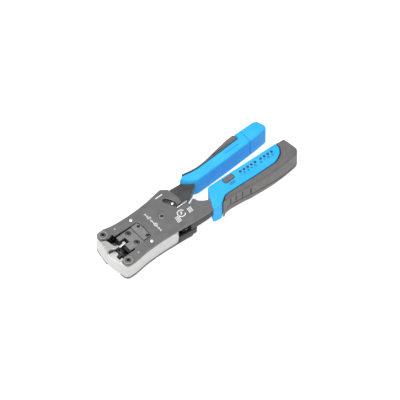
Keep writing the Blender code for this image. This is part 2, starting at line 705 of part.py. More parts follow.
# ---------------------------------------------------------------- fixed handle
def side_guard(group):
    """Black plastic wall that closes the lower side of the head behind the strap."""
    outline = rounded([
        (STRAP_END_X + 0.4, -WAIST_HALF - 2.2, 0.5), (SHOULDER_X * 0.6, -WAIST_HALF - 3.4, 8),
        (SHOULDER_X + 5.6, -WAIST_HALF - 4.4, 2.0), (SHOULDER_X + 5.6, -WAIST_HALF - 1.2, 0.5),
        (SHOULDER_X * 0.6, -WAIST_HALF - 0.6, 8), (STRAP_END_X + 0.4, -WAIST_HALF + 0.3, 0.5),
    ])
    guard = slab("side_guard", [outline], CORE_LOW, ARM_LOW - 0.6, group, "black_plastic")
    return soften(guard, 0.3, 1)


def upper_guard(group):
    """The same wall on the other side of the head."""
    outline = rounded([
        (STRAP_END_X + 0.4, WAIST_HALF + 0.9, 0.5), (SHOULDER_X * 0.6, WAIST_HALF + 2.6, 8),
        (SHOULDER_X, WAIST_HALF + 3.4, 2.0), (SHOULDER_X, WAIST_HALF + 1.6, 0.5),
        (SHOULDER_X * 0.6, WAIST_HALF + 0.8, 8), (STRAP_END_X + 0.4, WAIST_HALF - 1.3, 0.5),
    ][::-1])
    guard = slab("upper_guard", [outline], CORE_LOW, ARM_LOW - 0.6, group, "black_plastic")
    return soften(guard, 0.3, 1)


def lower_arm(group):
    """Fixed arm under the top plate's tang, running into the fixed handle."""
    outline = rounded([(16.4, -25.2, 1)] + tang_edge(-GAP) + [
        (74.0, -18.4, 2), (74.0, -12.0, 2),
        (54.0, -12.4, 1), (43.0, -12.6, 2), (37.6, -9.0, 2), (34.0, -7.6, 1), (22.0, -17.6, 4),
        (16.4, -19.6, 1),
    ])
    return slab("lower_arm", [outline], ARM_LOW, CORE_HIGH, group, "plate")


def lower_blue_corners():
    """Plan outline of the blue shell of the fixed handle."""
    end = LOWER_END
    return [
        (55.6, INNER_LOWER, 2.0), (80.0, INNER_LOWER - 0.3, 60), (end - 50, INNER_LOWER - 1.3, 60),
        (end - 13.2, INNER_LOWER - 2.4, 1.4), (end - 13.0, INNER_LOWER - 8.6, 5), (end - 17.0, -17.6, 7),
        (end - 26.0, -22.4, 9), (end - 50, -22.2, 60), (80.0, -21.2, 30), (62.6, -20.7, 8),
        (52.4, -27.6, 3), (46.6, -27.1, 1.6), (43.4, -25.6, 1.6), (45.6, -20.8, 8), (50.4, -12.0, 20),
    ]


def lower_shell(group, cutters):
    shell = slab("lower_shell", [rounded(lower_blue_corners())], 0, HANDLE_T, group, "blue_plastic")
    soften(shell, 1.3, 2, 50)
    tang = slab("lower_tang_room", [rounded([(36.0, -26.6, 0)] + tang_edge(GAP) + [
        (76.0, -18.8, 2), (76.0, -11.4, 2), (36.0, -11.4, 0)])], ARM_LOW - GAP, HEAD_T + GAP, cutters)
    cut(shell, tang)
    tester = rectangle(COVER_X0 + 1.2, COVER_X1 - 1.2, COVER_Y0 + 1.2, COVER_Y1 - 1.2, 1.5)
    room = slab("tester_room", [tester], -1, FACE_LOW, cutters)
    cut(shell, room)
    lamp_outline = rounded([
        (COVER_X0 + 2.0, COVER_Y1 - 1.6, 2), (LOWER_END - 18.0, COVER_Y1 - 2.6, 2),
        (LOWER_END - 19.5, -14.0, 3), (LOWER_END - 28.0, COVER_Y0 + 1.6, 4),
        (COVER_X0 + 2.0, COVER_Y0 + 1.6, 2),
    ])
    lamp_room = slab("lamp_room", [lamp_outline], FACE_LOW - 5.0, FACE_LOW, cutters)
    cut(shell, lamp_room)
    ledge = slab("cover_ledge", [rectangle(COVER_X0, COVER_X1, COVER_Y0, COVER_Y1, 2)], -1, COVER_T + GAP,
                 cutters)
    cut(shell, ledge)
    hole = slab("button_hole", [rounded(button_corners(GAP))], FACE_LOW - 1, HANDLE_T + 1, cutters)
    cut(shell, hole)
    for k, (x, y) in enumerate(lamp_places()):
        bore = round_bar(f"lamp_hole_{k}", x, y, LAMP_R + GAP, FACE_LOW - 1, HANDLE_T + 1,
                         cutters, None, 12)
        cut(shell, bore)
    return shell


def lower_grip(group, cutters):
    """Grey soft grip round the outer side and the end of the fixed handle."""
    end = LOWER_END
    outline = rounded([
        (53.8, -27.8, 0.6), (57.0, -26.4, 4), (66.0, -25.9, 20), (80.0, -27.2, 30), (90.0, -28.9, 40),
        (115.0, -30.6, 60), (end - 22.0, -30.2, 60), (end - 4.4, -28.4, 7), (end, -23.4, 5),
        (end - 1.4, -13.0, 20), (end - 3.0, INNER_LOWER - 3.2, 1.6),
        (end - 12.8 + GAP, INNER_LOWER - 2.8, 0.6), (end - 12.6 + GAP, INNER_LOWER - 8.9, 5),
        (end - 16.6 + GAP, -17.9 - GAP, 7), (end - 25.8, -22.8 - GAP, 9), (end - 50, -22.5 - GAP, 60),
        (80.0, -21.5 - GAP, 30), (63.0, -21.0 - GAP, 8),
    ])
    grip = slab("lower_grip", [outline], 0, HANDLE_T - 0.5, group, "grey_rubber")
    soften(grip, 2.0, 2, 50)
    jack_hole = block("jack_hole", ((end - 12.0, end + 1), (-22.6, -9.4),
                                     (HANDLE_MID - JACK_HALF - GAP, HANDLE_MID + JACK_HALF + GAP)), cutters)
    return cut(grip, jack_hole)


def main_jack(group, cutters):
    """Network jack at the end of the fixed handle, open to the rear."""
    end = LOWER_END
    body = block("main_jack", ((end - 11.6, end - 1.6), (-22.3, -9.7),
                               (HANDLE_MID - JACK_HALF, HANDLE_MID + JACK_HALF)), group, "black_plastic")
    mouth = block("main_jack_mouth", ((end - 9.6, end), (-21.2, -10.8),
                                      (HANDLE_MID - JACK_HALF + 1.5, HANDLE_MID + JACK_HALF - 1.5)), cutters)
    return cut(body, mouth)


def button_corners(grow=0.0):
    """Cut-cornered outline of the test button."""
    x = BUTTON_L / 2 + grow
    y = BUTTON_W / 2 + grow
    c = 1.7
    pairs = [(-x + c, -y), (x - c, -y), (x, -y + c), (x, y - c), (x - c, y), (-x + c, y), (-x, y - c),
             (-x, -y + c)]
    return [(BUTTON_X + px, BUTTON_Y + py, 0.8) for px, py in pairs]


def lamp_places():
    """Nine lamp centres in a row: five, a wider space, then four."""
    places = []
    for k in range(9):
        x = LAMP_FIRST + k * LAMP_PITCH + (LAMP_BREAK if k > 4 else 0)
        places.append((x, BUTTON_Y - 1.0 - 0.034 * (x - LAMP_FIRST)))
    return places


def test_button(group):
    button = slab("test_button", [rounded(button_corners())], FACE_LOW - 0.4, HANDLE_T + 0.5,
                  group, "grey_rubber")
    return soften(button, 0.4, 2, 50)


def light_bar(group, cutters):
    """Nine lamp lenses on one strip behind the shell."""
    places = lamp_places()
    strip = rectangle(places[0][0] - 2, places[-1][0] + 2, BUTTON_Y - 3.9, BUTTON_Y - 0.3, 1)
    base = slab("light_bar", [strip], FACE_LOW - 1.8, FACE_LOW - GAP, group, "lamp")
    for k, (x, y) in enumerate(places):
        lens = round_bar(f"lens_{k}", x, y, LAMP_R, FACE_LOW - 1.0, HANDLE_T + 0.2, cutters, None, 12)
        cut(base, lens, "UNION")
    return base


def tester_inside(group):
    """Circuit board, battery and the sliding cover under them."""
    top = FACE_LOW
    board = slab("tester_board", [rectangle(COVER_X0 + 2.4, LOWER_END - 29.0, -17.4, -8.6, 1)], top - 4.0,
                 top - 2.4, group, "board")
    battery = slab("battery", [rectangle(COVER_X0 + 7.0, COVER_X0 + 35.0, -17.6, -8.4, 1.5)],
                   COVER_T * 2, COVER_T * 2 + BATTERY_T, group, "brass")
    soften(battery, 0.6, 1, 50)
    lid = rectangle(COVER_X0 + GAP, COVER_X1 - GAP, COVER_Y0 + GAP, COVER_Y1 - GAP, 1.7)
    cover = slab("battery_cover", [lid], 0, COVER_T, group, "grey_rubber")
    return [board, battery, cover]


# ---------------------------------------------------------------- moving handle
def outer_edge(x):
    """Outer face of the moving handle: hollow near the collar, full towards its end."""
    t = min(max((x - 58.0) / 58.0, 0.0), 1.0)
    return 21.4 + 7.2 * t * t * (3 - 2 * t)


def upper_shell_outline():
    inner = [(54.4, INNER_UPPER, 2.0), (90.0, INNER_UPPER + 1.0, 60), (REMOTE_X - GAP, INNER_UPPER + 2.6, 0)]
    back = [(REMOTE_X - GAP, outer_edge(REMOTE_X), 0)]
    rear_edge = outer_edge(PAD_REAR)
    insert = [(PAD_REAR, rear_edge, 0), (PAD_REAR, rear_edge - 6.2, 1.0), (90.0, 21.1, 40), (62.0, 20.2, 14),
              (54.0, 21.0, 8)]
    front = [(PAD_FRONT, 23.0, 2), (41.2, 21.9, 3), (38.4, 19.4, 1.5), (48.0, 11.4, 8)]
    return rounded(inner + back + insert + front)


def upper_shell(group, cutters):
    shell = slab("upper_shell", [upper_shell_outline()], 0, HANDLE_T, group, "blue_plastic")
    soften(shell, 1.3, 2, 50)
    tang_outline = rounded([
        (30.0, -4.0, 0), (44.0, 5.0, 0), (51.0, 10.3, 0), (60.0, 12.4, 2), (77.0, 12.8, 2),
        (77.0, 20.0 + GAP, 2), (58.0, 19.5, 3), (30.0, 19.9, 0),
    ])
    tang = slab("upper_tang_room", [tang_outline], LINK_LOW + LINK_T - 0.2, ARM_HIGH + GAP, cutters)
    cut(shell, tang)
    dock = block("dock_room", ((REMOTE_X - 10.0, REMOTE_X + 1), (INNER_UPPER + 5.4, 25.4),
                               (HANDLE_MID - FAR_JACK_HALF + 1, HANDLE_MID + FAR_JACK_HALF - 1)), cutters)
    return cut(shell, dock)


def upper_insert(group):
    """Grey soft pad along the outer face of the moving handle."""
    rear = PAD_REAR - GAP
    corners = [(PAD_FRONT + 0.6, 23.2 + GAP, 0.3), (54.4, 21.3 + GAP, 8), (62.4, 20.5 + GAP, 14),
               (90.0, 21.4 + GAP, 40), (rear, outer_edge(rear) - 5.9 + GAP, 0.8),
               (rear, outer_edge(rear) + 0.6, 2)]
    corners += [(x, outer_edge(x) + 0.6, 30) for x in (104.0, 92.0, 80.0, 70.0)]
    corners += [(60.0, 22.5, 6), (52.0, 23.6, 8), (PAD_FRONT + 1.0, 24.7, 0.5)]
    pad = slab("upper_insert", [rounded(corners)], 1.6, HANDLE_T - 0.6, group, "grey_rubber")
    return soften(pad, 0.9, 2, 50)


def remote_shell(group, cutters):
    """Pull-off far-end unit of the cable tester."""
    end = UPPER_END
    outline = rounded([
        (REMOTE_X, INNER_UPPER + 2.6, 0), (end - 12.0, INNER_UPPER + 3.4, 4),
        (end - 2.2, INNER_UPPER + 4.6, 3),
        (end, INNER_UPPER + 8.6, 4), (end - 3.2, 26.6, 3), (end - 7.0, outer_edge(end), 4),
        (REMOTE_X, outer_edge(REMOTE_X), 0),
    ])
    shell = slab("remote_shell", [outline], 0, HANDLE_T, group, "blue_plastic")
    soften(shell, 1.3, 2, 50)
    half = FAR_JACK_HALF + 0.4
    room = block("remote_room", ((REMOTE_X - 1, REMOTE_X + 14.0), (INNER_UPPER + 5.0, 25.8),
                                 (HANDLE_MID - half, HANDLE_MID + half)), cutters)
    return cut(shell, room)


def remote_jack(group, cutters):
    """Network jack in the far-end unit: its mouth faces the handle, which hides it when docked."""
    bottom, top = HANDLE_MID - FAR_JACK_HALF, HANDLE_MID + FAR_JACK_HALF
    body = block("remote_jack", ((REMOTE_X + 0.6, REMOTE_X + 13.6), (INNER_UPPER + 5.4, 25.4), (bottom, top)),
                 group, "black_plastic")
    mouth = block("remote_jack_mouth", ((REMOTE_X - 1, REMOTE_X + 10.6), (INNER_UPPER + 7.2, 23.6),
                                        (bottom + 2, top - 3)), cutters)
    return cut(body, mouth)


def shell_screws(group):
    """Countersunk screws on the underside of the handles."""
    made = []
    places = (("lower_screw_front", 62.0, -16.4), ("lower_screw_rear", LOWER_END - 21.0, -13.0),
              ("upper_screw_front", 64.0, 15.4), ("upper_screw_rear", 108.0, 17.6))
    shank, wide, top = HANDLE_SCREW_R, HANDLE_SCREW_HEAD, HANDLE_SCREW_TOP
    for name, x, y in places:
        screw = turned(name, x, y, [
            (0, top), (shank, top), (shank, wide + 0.3), (wide, 1.2), (wide, 0.5), (1.0, 0.5), (0.9, 1.2),
            (0, 1.2)], group, "dark_steel", 16)
        made.append((screw, x, y))
    return made


def screw_room(shell, name, x, y, cutters):
    """Stepped hole for one handle screw."""
    radius, head = HANDLE_SCREW_R + GAP, HANDLE_SCREW_HEAD + GAP
    deep = round_bar(name + "_hole", x, y, radius, -1, HANDLE_SCREW_TOP + GAP, cutters, None, 16)
    wide = round_bar(name + "_sink", x, y, head, -1, head + GAP, cutters, None, 16)
    cut(shell, deep)
    cut(shell, wide)


# ---------------------------------------------------------------- assembly
def build():
    clear_scene()
    group = new_collection("crimping_tool")
    cutters = new_collection("cutters")

    top_plate(group)
    bottom_plate(group, cutters)
    nose_frame(group, cutters)
    nest_die(group)
    strip_blade(group)
    nose_hardware(group)
    guide_rails(group)
    keeper_plate(group)
    pivot_screw(group)
    pawl_pin(group)
    leaf_spring(group)
    side_guard(group)
    upper_guard(group)
    lower_arm(group)
    lower = lower_shell(group, cutters)
    lower_grip(group, cutters)
    main_jack(group, cutters)
    light_bar(group, cutters)
    tester_inside(group)

    upper = upper_shell(group, cutters)
    handle_pieces = [lever_arm(group), ratchet_sector(group), crank_pin(group), guide_pin(group), upper,
                     upper_insert(group)]
    for obj, x, y in shell_screws(group):
        owner = upper if obj.name.startswith("upper") else lower
        screw_room(owner, obj.name, x, y, cutters)
        if owner is upper:
            handle_pieces.append(obj)

    carry("handle_axis", 0, 0, 0, handle_pieces, group)
    carry("link_axis", 0, -CRANK, 0, [link(group)], group)
    carry("ram_axis", RAM_PIN_X, RAM_PIN_Y, 0,
          [ram(group, cutters), contact_punch(group), ram_pin(group)] + die_screws(group), group)
    carry("pawl_axis", PAWL_X, PAWL_Y, 0, [ratchet_pawl(group)], group)
    carry("remote_axis", REMOTE_X, INNER_UPPER + 9.0, HANDLE_MID,
          [remote_shell(group, cutters), remote_jack(group, cutters)], group)
    carry("button_axis", BUTTON_X, BUTTON_Y, HANDLE_T, [test_button(group)], group)


build()
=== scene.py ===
# %% [markdown]
# # A ratchet crimping tool, one finish at a time
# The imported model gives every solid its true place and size. This lesson keeps those places and
# dresses the tool: each visible solid is read back as an outline, and a finer surface with rounded
# edges is worked out from that outline, so nothing has to be measured twice.

# %% Load the frame
import json
import math

import bpy
import numpy as np
from mathutils import Matrix, Vector, geometry


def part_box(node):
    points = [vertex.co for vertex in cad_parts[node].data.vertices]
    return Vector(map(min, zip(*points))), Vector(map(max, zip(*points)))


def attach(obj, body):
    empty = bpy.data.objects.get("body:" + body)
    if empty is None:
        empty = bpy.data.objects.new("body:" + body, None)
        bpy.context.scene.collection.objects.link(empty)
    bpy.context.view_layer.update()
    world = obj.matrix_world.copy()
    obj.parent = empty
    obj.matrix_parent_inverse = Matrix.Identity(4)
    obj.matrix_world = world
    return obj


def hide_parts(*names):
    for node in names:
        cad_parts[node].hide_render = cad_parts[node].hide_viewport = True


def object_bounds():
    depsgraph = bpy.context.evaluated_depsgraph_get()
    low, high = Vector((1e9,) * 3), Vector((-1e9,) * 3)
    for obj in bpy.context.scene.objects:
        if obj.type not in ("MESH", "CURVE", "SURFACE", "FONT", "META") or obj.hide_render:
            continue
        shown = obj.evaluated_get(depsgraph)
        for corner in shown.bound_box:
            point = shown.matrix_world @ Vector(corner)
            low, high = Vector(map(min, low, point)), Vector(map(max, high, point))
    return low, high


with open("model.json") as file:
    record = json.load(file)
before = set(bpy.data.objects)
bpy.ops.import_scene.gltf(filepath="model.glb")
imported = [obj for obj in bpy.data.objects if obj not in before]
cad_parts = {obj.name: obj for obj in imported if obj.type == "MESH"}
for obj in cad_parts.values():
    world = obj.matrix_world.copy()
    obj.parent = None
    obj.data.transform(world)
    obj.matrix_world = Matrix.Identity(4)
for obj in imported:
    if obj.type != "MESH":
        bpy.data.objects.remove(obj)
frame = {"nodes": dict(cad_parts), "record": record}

MM = 0.001
cad_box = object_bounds()
low, high = np.array(cad_box[0]), np.array(cad_box[1])
head_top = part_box("top_plate")[1].z
print("the tool measures", np.round((high - low) / MM, 1), "mm")

# %% [markdown]
# ## Camera
# The tool lies on its side and is seen from above and in front of its nose. A long lens far away
# keeps parallel edges parallel. Turning a camera by its azimuth and elevation is easiest with a
# matrix made of its three axes: right, up and back.

# %% Camera
AZIMUTH, ELEVATION = math.radians(-40), math.radians(55)
FRAME_WIDTH, LENS, SENSOR = 0.3883, 800.0, 36.0


def look_axes(azimuth, elevation):
    """Right, up and back directions of a camera that looks down at the given angles."""
    ahead = Vector((-math.sin(azimuth), math.cos(azimuth), 0))
    right = Vector((math.cos(azimuth), math.sin(azimuth), 0))
    back = Vector((0, 0, math.sin(elevation))) - ahead * math.cos(elevation)
    return right, back.cross(right), back


right, up, back = look_axes(AZIMUTH, ELEVATION)
aim = Vector((0.0405, -0.0092, head_top))
distance = FRAME_WIDTH * LENS / SENSOR
camera_data = bpy.data.cameras.new("camera")
camera_data.lens = LENS
camera_data.clip_end = 20
camera = bpy.data.objects.new("camera", camera_data)
bpy.context.scene.collection.objects.link(camera)
turn = Matrix((right, up, back)).transposed().to_4x4()
camera.matrix_world = Matrix.Translation(aim + back * distance) @ turn
bpy.context.scene.camera = camera
print("camera", round(distance, 3), "m away")

# %% [markdown]
# ## Floor and light
# A catalogue picture has a white sweep under the object and light from everywhere. The world gives
# the even part. One large lamp above the nose and a weaker, lower one in front of it give the
# plates and the mouldings their slow gradients. The floor glows a little, so that coloured light
# from the mouldings doesn't tint it.

# %% Floor and light
scene = bpy.context.scene
scene.view_settings.view_transform = "Standard"


def area_lamp(name, place, target, size, power):
    """Square soft lamp at a place, facing a target."""
    data = bpy.data.lights.new(name, "AREA")
    data.size = size
    data.energy = power
    lamp = bpy.data.objects.new(name, data)
    scene.collection.objects.link(lamp)
    lamp.location = place
    lamp.rotation_euler = (Vector(target) - Vector(place)).to_track_quat("-Z", "Y").to_euler()


world = bpy.data.worlds.new("studio")
world.use_nodes = True
world.node_tree.nodes["Background"].inputs["Color"].default_value = (1, 1, 1, 1)
world.node_tree.nodes["Background"].inputs["Strength"].default_value = 0.75
scene.world = world
area_lamp("key", (-0.15, 0.15, 1.1), (0.04, 0, 0), 0.7, 9.0)
area_lamp("fill", (-0.9, -0.5, 0.5), (0.04, 0, 0), 0.8, 3.0)

floor_mesh = bpy.data.meshes.new("floor")
side = 6.0
floor_mesh.from_pydata([(-side, -side, 0), (side, -side, 0), (side, side, 0), (-side, side, 0)], [],
                       [(0, 1, 2, 3)])
floor = bpy.data.objects.new("floor", floor_mesh)
scene.collection.objects.link(floor)
floor.location.z = low[2] - 0.0002
floor_paint = bpy.data.materials.new("floor_paint")
floor_paint.use_nodes = True
floor_shader = floor_paint.node_tree.nodes["Principled BSDF"]
floor_shader.inputs["Base Color"].default_value = (0.45, 0.45, 0.45, 1)
floor_shader.inputs["Roughness"].default_value = 0.9
floor_shader.inputs["Specular IOR Level"].default_value = 0.1
floor_shader.inputs["Emission Color"].default_value = (1, 1, 1, 1)
floor_shader.inputs["Emission Strength"].default_value = 0.82
floor.data.materials.append(floor_paint)
print("floor at", round(floor.location.z / MM, 2), "mm")

# %% [markdown]
# ## Reading an outline back from a solid
# Cutting a closed mesh with a level plane leaves closed loops. Each triangle that crosses the plane
# gives one short step, from the edge where it rises through the plane to the edge where it falls
# through it; joined end to end the steps run round the material with it on their left. The
# alternative, typing the outlines again, would let the looks drift away from the design.

# %% Sections
KEY_STEP = 2e-6


def triangles_of(node):
    """Corner positions of a node's triangles, as one array of (triangle, corner, axis)."""
    mesh = frame["nodes"][node].data
    mesh.calc_loop_triangles()
    points = np.empty(len(mesh.vertices) * 3)
    mesh.vertices.foreach_get("co", points)
    corners = np.empty(len(mesh.loop_triangles) * 3, dtype=np.int64)
    mesh.loop_triangles.foreach_get("vertices", corners)
    return points.reshape(-1, 3)[corners].reshape(-1, 3, 3)


def section(node, height):
    """Loops where a level plane cuts a node. On each edge the crossing is the weighted mean of its
    ends, with the distances to the plane as weights. Steps are joined where their ends, in whole
    multiples of KEY_STEP, are the same."""
    corners = triangles_of(node)
    after = np.roll(corners, -1, axis=1)
    above = corners[..., 2] - height
    above_after = after[..., 2] - height
    rising = (above < 0) & (above_after >= 0)
    falling = (above >= 0) & (above_after < 0)
    share = above / np.where(above == above_after, 1, above - above_after)
    crossing = corners + (after - corners) * share[..., None]
    cut = rising.any(axis=1)
    starts = (crossing * falling[..., None]).sum(axis=1)[cut, :2]
    ends = (crossing * rising[..., None]).sum(axis=1)[cut, :2]
    keys = [tuple(k) for k in np.round(starts / KEY_STEP).astype(int)]
    follow = {}
    for k, (key, end) in enumerate(zip(keys, np.round(ends / KEY_STEP).astype(int))):
        follow[key] = (k, tuple(end))
    loops = []
    while follow:
        key = next(iter(follow))
        loop = []
        while key in follow:
            k, after_key = follow.pop(key)
            loop.append(starts[k])
            key = near_key(follow, after_key)
        if len(loop) > 2:
            loops.append(tidy_loop(np.array(loop)))
    return sorted(loops, key=lambda loop: -abs(loop_area(loop)))


def near_key(known, key):
    """The same key, or one that differs by a rounding step."""
    if key in known:
        return key
    for dx in (-1, 0, 1):
        for dy in (-1, 0, 1):
            if (key[0] + dx, key[1] + dy) in known:
                return key[0] + dx, key[1] + dy
    return key


def loop_area(loop):
    """Shoelace formula: half the sum of cross products of neighbouring points."""
    after = np.roll(loop, -1, axis=0)
    return 0.5 * np.sum(loop[:, 0] * after[:, 1] - loop[:, 1] * after[:, 0])


def tidy_loop(loop):
    """Drops points that lie on the straight line between their neighbours."""
    for _ in range(2):
        before, after = np.roll(loop, 1, axis=0) - loop, np.roll(loop, -1, axis=0) - loop
        twist = np.abs(before[:, 0] * after[:, 1] - before[:, 1] * after[:, 0])
        size = np.linalg.norm(before, axis=1) * np.linalg.norm(after, axis=1)
        keep = twist > 1e-3 * np.maximum(size, 1e-14)
        loop = loop[keep]
    return loop


plate_loops = section("top_plate", head_top - 1.1 * MM)
print("the top plate has", len(plate_loops), "loops of", [len(loop) for loop in plate_loops], "points")

# %% [markdown]
# ## Finer curves
# The solids are many-sided where the real pieces are round. Cutting every shallow corner twice, by
# no more than about a millimetre, gives smooth arcs; corners that turn sharply are kept. Moving a
# loop sideways by a small distance gives the rings from which a rounded edge is built.

# %% Corner cutting and offsets
def finer(loop, rounds=2, keep_angle=50.0, reach=1.2 * MM):
    """Corner cutting: each shallow corner is replaced by two points on its two edges."""
    for _ in range(rounds):
        before, after = np.roll(loop, 1, axis=0) - loop, np.roll(loop, -1, axis=0) - loop
        size_before = np.linalg.norm(before, axis=1)
        size_after = np.linalg.norm(after, axis=1)
        cosine = -(before * after).sum(axis=1) / (size_before * size_after)
        sharp = cosine < math.cos(math.radians(keep_angle))
        first = loop + before * (np.minimum(0.25, reach / size_before) * ~sharp)[:, None]
        second = loop + after * (np.minimum(0.25, reach / size_after) * ~sharp)[:, None]
        both = np.stack([first, second], axis=1).reshape(-1, 2)
        keep = np.stack([np.ones_like(sharp), ~sharp], axis=1).reshape(-1)
        loop = both[keep]
    return loop


def inset(loop, distance):
    """Loop moved towards the material on its left: along the mean of its two edge normals, a little
    further at corners so that the edges themselves move by the distance."""
    before = loop - np.roll(loop, 1, axis=0)
    after = np.roll(loop, -1, axis=0) - loop
    before /= np.linalg.norm(before, axis=1)[:, None]
    after /= np.linalg.norm(after, axis=1)[:, None]
    normal = np.stack([-before[:, 1] - after[:, 1], before[:, 0] + after[:, 0]], axis=1)
    length = np.linalg.norm(normal, axis=1)
    normal /= np.maximum(length, 0.3)[:, None]
    stretch = np.minimum(2 / np.maximum(length, 0.3), 1.5)
    return loop + normal * (distance * stretch)[:, None]


# %% [markdown]
# ## A profile carried round an outline
# Plates, shells and grips are all the same kind of surface: two parameters, one along the outline
# and one up the edge profile. The profile is a list of (inset, height, edge share) rows; the grid of
# points is the outline moved in by each inset and lifted to each height. Two flat caps close it.

# %% The wall and its caps
ROUND_STEPS = 4


def grid_faces(rows, columns, start):
    """Quads of a grid that closes on itself along its columns."""
    r, c = np.meshgrid(np.arange(rows - 1), np.arange(columns), indexing="ij")
    after = (c + 1) % columns
    quads = np.stack([r * columns + c, r * columns + after, (r + 1) * columns + after,
                      (r + 1) * columns + c], axis=-1)
    return quads.reshape(-1, 4) + start


def cap_faces(points, rings, upward):
    """Triangles that fill between rings of point indices, all facing up or all facing down."""
    polygons = [[Vector((*(points[i][:2] / MM), 0)) for i in ring] for ring in rings]
    order = np.concatenate(rings)
    found = np.array(geometry.tessellate_polygon(polygons), dtype=np.int64).reshape(-1, 3)
    faces = order[found]
    a, b, c = (points[faces[:, k]][:, :2] for k in range(3))
    twist = (b - a)[:, 0] * (c - a)[:, 1] - (b - a)[:, 1] * (c - a)[:, 0]
    wrong = (twist < 0) == upward
    faces[wrong] = faces[wrong][:, ::-1]
    return faces[np.abs(twist) > 1e-14]


def carried(loops, profile):
    """Points, faces and the edge share (0 on flats, 1 on the rounded edge) of a closed surface."""
    points, faces, share, bottoms, tops = [], [], [], [], []
    start = 0
    for loop in loops:
        count = len(loop)
        points += [np.column_stack([inset(loop, depth), np.full(count, height)])
                   for depth, height, _ in profile]
        share.append(np.repeat([edge for *_, edge in profile], count))
        faces += grid_faces(len(profile), count, start).tolist()
        bottoms.append(np.arange(count) + start)
        tops.append(bottoms[-1] + (len(profile) - 1) * count)
        start += len(profile) * count
    points = np.concatenate(points)
    faces += cap_faces(points, bottoms, False).tolist()
    faces += cap_faces(points, tops, True).tolist()
    return points, faces, np.concatenate(share)


def edge_profile(bottom, top, radius):
    """Rows (inset, height, edge share) from the lower cap to the upper one: a quarter circle of the
    radius at both ends, each with a narrow flat ring inside it so that the caps shade flat."""
    ring = min(0.25 * MM, radius)
    lower = [(radius + ring, bottom, 0.0)]
    lower += [(radius * (1 - math.sin(t)), bottom + radius * (1 - math.cos(t)), math.sin(2 * t))
              for t in np.linspace(0, math.pi / 2, ROUND_STEPS + 1)]
    upper = [(depth, top + bottom - height, edge) for depth, height, edge in lower[::-1]]
    return lower + upper


def make_piece(name, points, faces, body, finish, share=None, sharp=35.0):
    """Mesh object at the origin, smooth but for its sharp edges, riding on a body."""
    mesh = bpy.data.meshes.new(name)
    mesh.from_pydata([tuple(p) for p in points], [], [tuple(f) for f in faces])
    mesh.shade_smooth()
    mesh.set_sharp_from_angle(angle=math.radians(sharp))
    if share is not None:
        edge = mesh.attributes.new("edge", "FLOAT", "POINT")
        edge.data.foreach_set("value", np.asarray(share, dtype=np.float32))
    piece = bpy.data.objects.new(name, mesh)
    scene.collection.objects.link(piece)
    maker, slot_name = FINISHES[finish]
    mesh.materials.append(maker())
    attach(piece, body)
    return piece


# %% [markdown]
# ## Finishes
# Every finish is a small node tree on Object coordinates, which are metres in the tool's own frame,
# so a grain of a given size is a noise of a given scale. The attribute "edge" is 1 on rounded edges:
# paint is thinner and steel is brighter there from wear, and the colour is lightened a little more as
# a painted highlight.

# %% Node helpers
def new_finish(name, roughness, metallic=0.0):
    """Material with a Principled shader of that roughness, ready for its pattern."""
    paint = bpy.data.materials.new(name)
    paint.use_nodes = True
    shader = paint.node_tree.nodes["Principled BSDF"]
    shader.inputs["Roughness"].default_value = roughness
    shader.inputs["Metallic"].default_value = metallic
    return paint, paint.node_tree, shader


def noise(tree, scale, detail=3.0, stretch=(1, 1, 1)):
    """Noise on Object coordinates; stretch below 1 draws the grain out along that axis."""
    where = tree.nodes.new("ShaderNodeTexCoord")
    place = tree.nodes.new("ShaderNodeMapping")
    place.inputs["Scale"].default_value = stretch
    grain = tree.nodes.new("ShaderNodeTexNoise")
    grain.inputs["Scale"].default_value = scale
    grain.inputs["Detail"].default_value = detail
    tree.links.new(where.outputs["Object"], place.inputs["Vector"])
    tree.links.new(place.outputs["Vector"], grain.inputs["Vector"])
    return grain.outputs["Fac"]


def spread(tree, value, low_in, high_in, low_out, high_out):
    """Maps a value from one range to another and stops at the ends."""
    step = tree.nodes.new("ShaderNodeMapRange")
    limits = {"From Min": low_in, "From Max": high_in, "To Min": low_out, "To Max": high_out}
    for socket, limit in limits.items():
        step.inputs[socket].default_value = limit
    tree.links.new(value, step.inputs["Value"])
    return step.outputs["Result"]


def mixed(tree, share, first, second):
    """Colour between two, by a share; either may be a colour or a socket."""
    blend = tree.nodes.new("ShaderNodeMix")
    blend.data_type = "RGBA"
    tree.links.new(share, blend.inputs["Factor"])
    for socket, colour in zip(("A", "B"), (first, second)):
        target = [s for s in blend.inputs if s.name == socket and s.type == "RGBA"][0]
        if isinstance(colour, tuple):
            target.default_value = (*colour, 1)
        else:
            tree.links.new(colour, target)
    return [s for s in blend.outputs if s.type == "RGBA"][0]


def cloudy(tree, value):
    """The middle part of a noise spread over the whole range from 0 to 1."""
    return spread(tree, value, 0.3, 0.7, 0, 1)


def coloured(tree, shader, share, first, second):
    """Gives the shader a colour between two, by a share."""
    tree.links.new(mixed(tree, share, first, second), shader.inputs["Base Color"])


def roughened(tree, shader, value, least, most):
    """Lets the roughness follow a noise between two limits."""
    tree.links.new(spread(tree, value, 0.3, 0.7, least, most), shader.inputs["Roughness"])


def bumped(tree, shader, height, depth, strength=1.0):
    """Small relief of the given depth in metres."""
    relief = tree.nodes.new("ShaderNodeBump")
    relief.inputs["Distance"].default_value = depth
    relief.inputs["Strength"].default_value = strength
    tree.links.new(height, relief.inputs["Height"])
    tree.links.new(relief.outputs["Normal"], shader.inputs["Normal"])


def edge_wear_and_highlight(tree, start, most):
    """Share of edge wear and painted highlight from the piece's own edge attribute: none below start, the
    most where it is 1.
    """
    reader = tree.nodes.new("ShaderNodeAttribute")
    reader.attribute_name = "edge"
    return spread(tree, reader.outputs["Fac"], start, 1.0, 0, most)


made_finishes = {}


def once(name):
    """Keeps one material for each finish, however many pieces ask for it."""
    def wrap(maker):
        def get():
            if name not in made_finishes:
                made_finishes[name] = maker(name)
            return made_finishes[name]
        return get
    return wrap
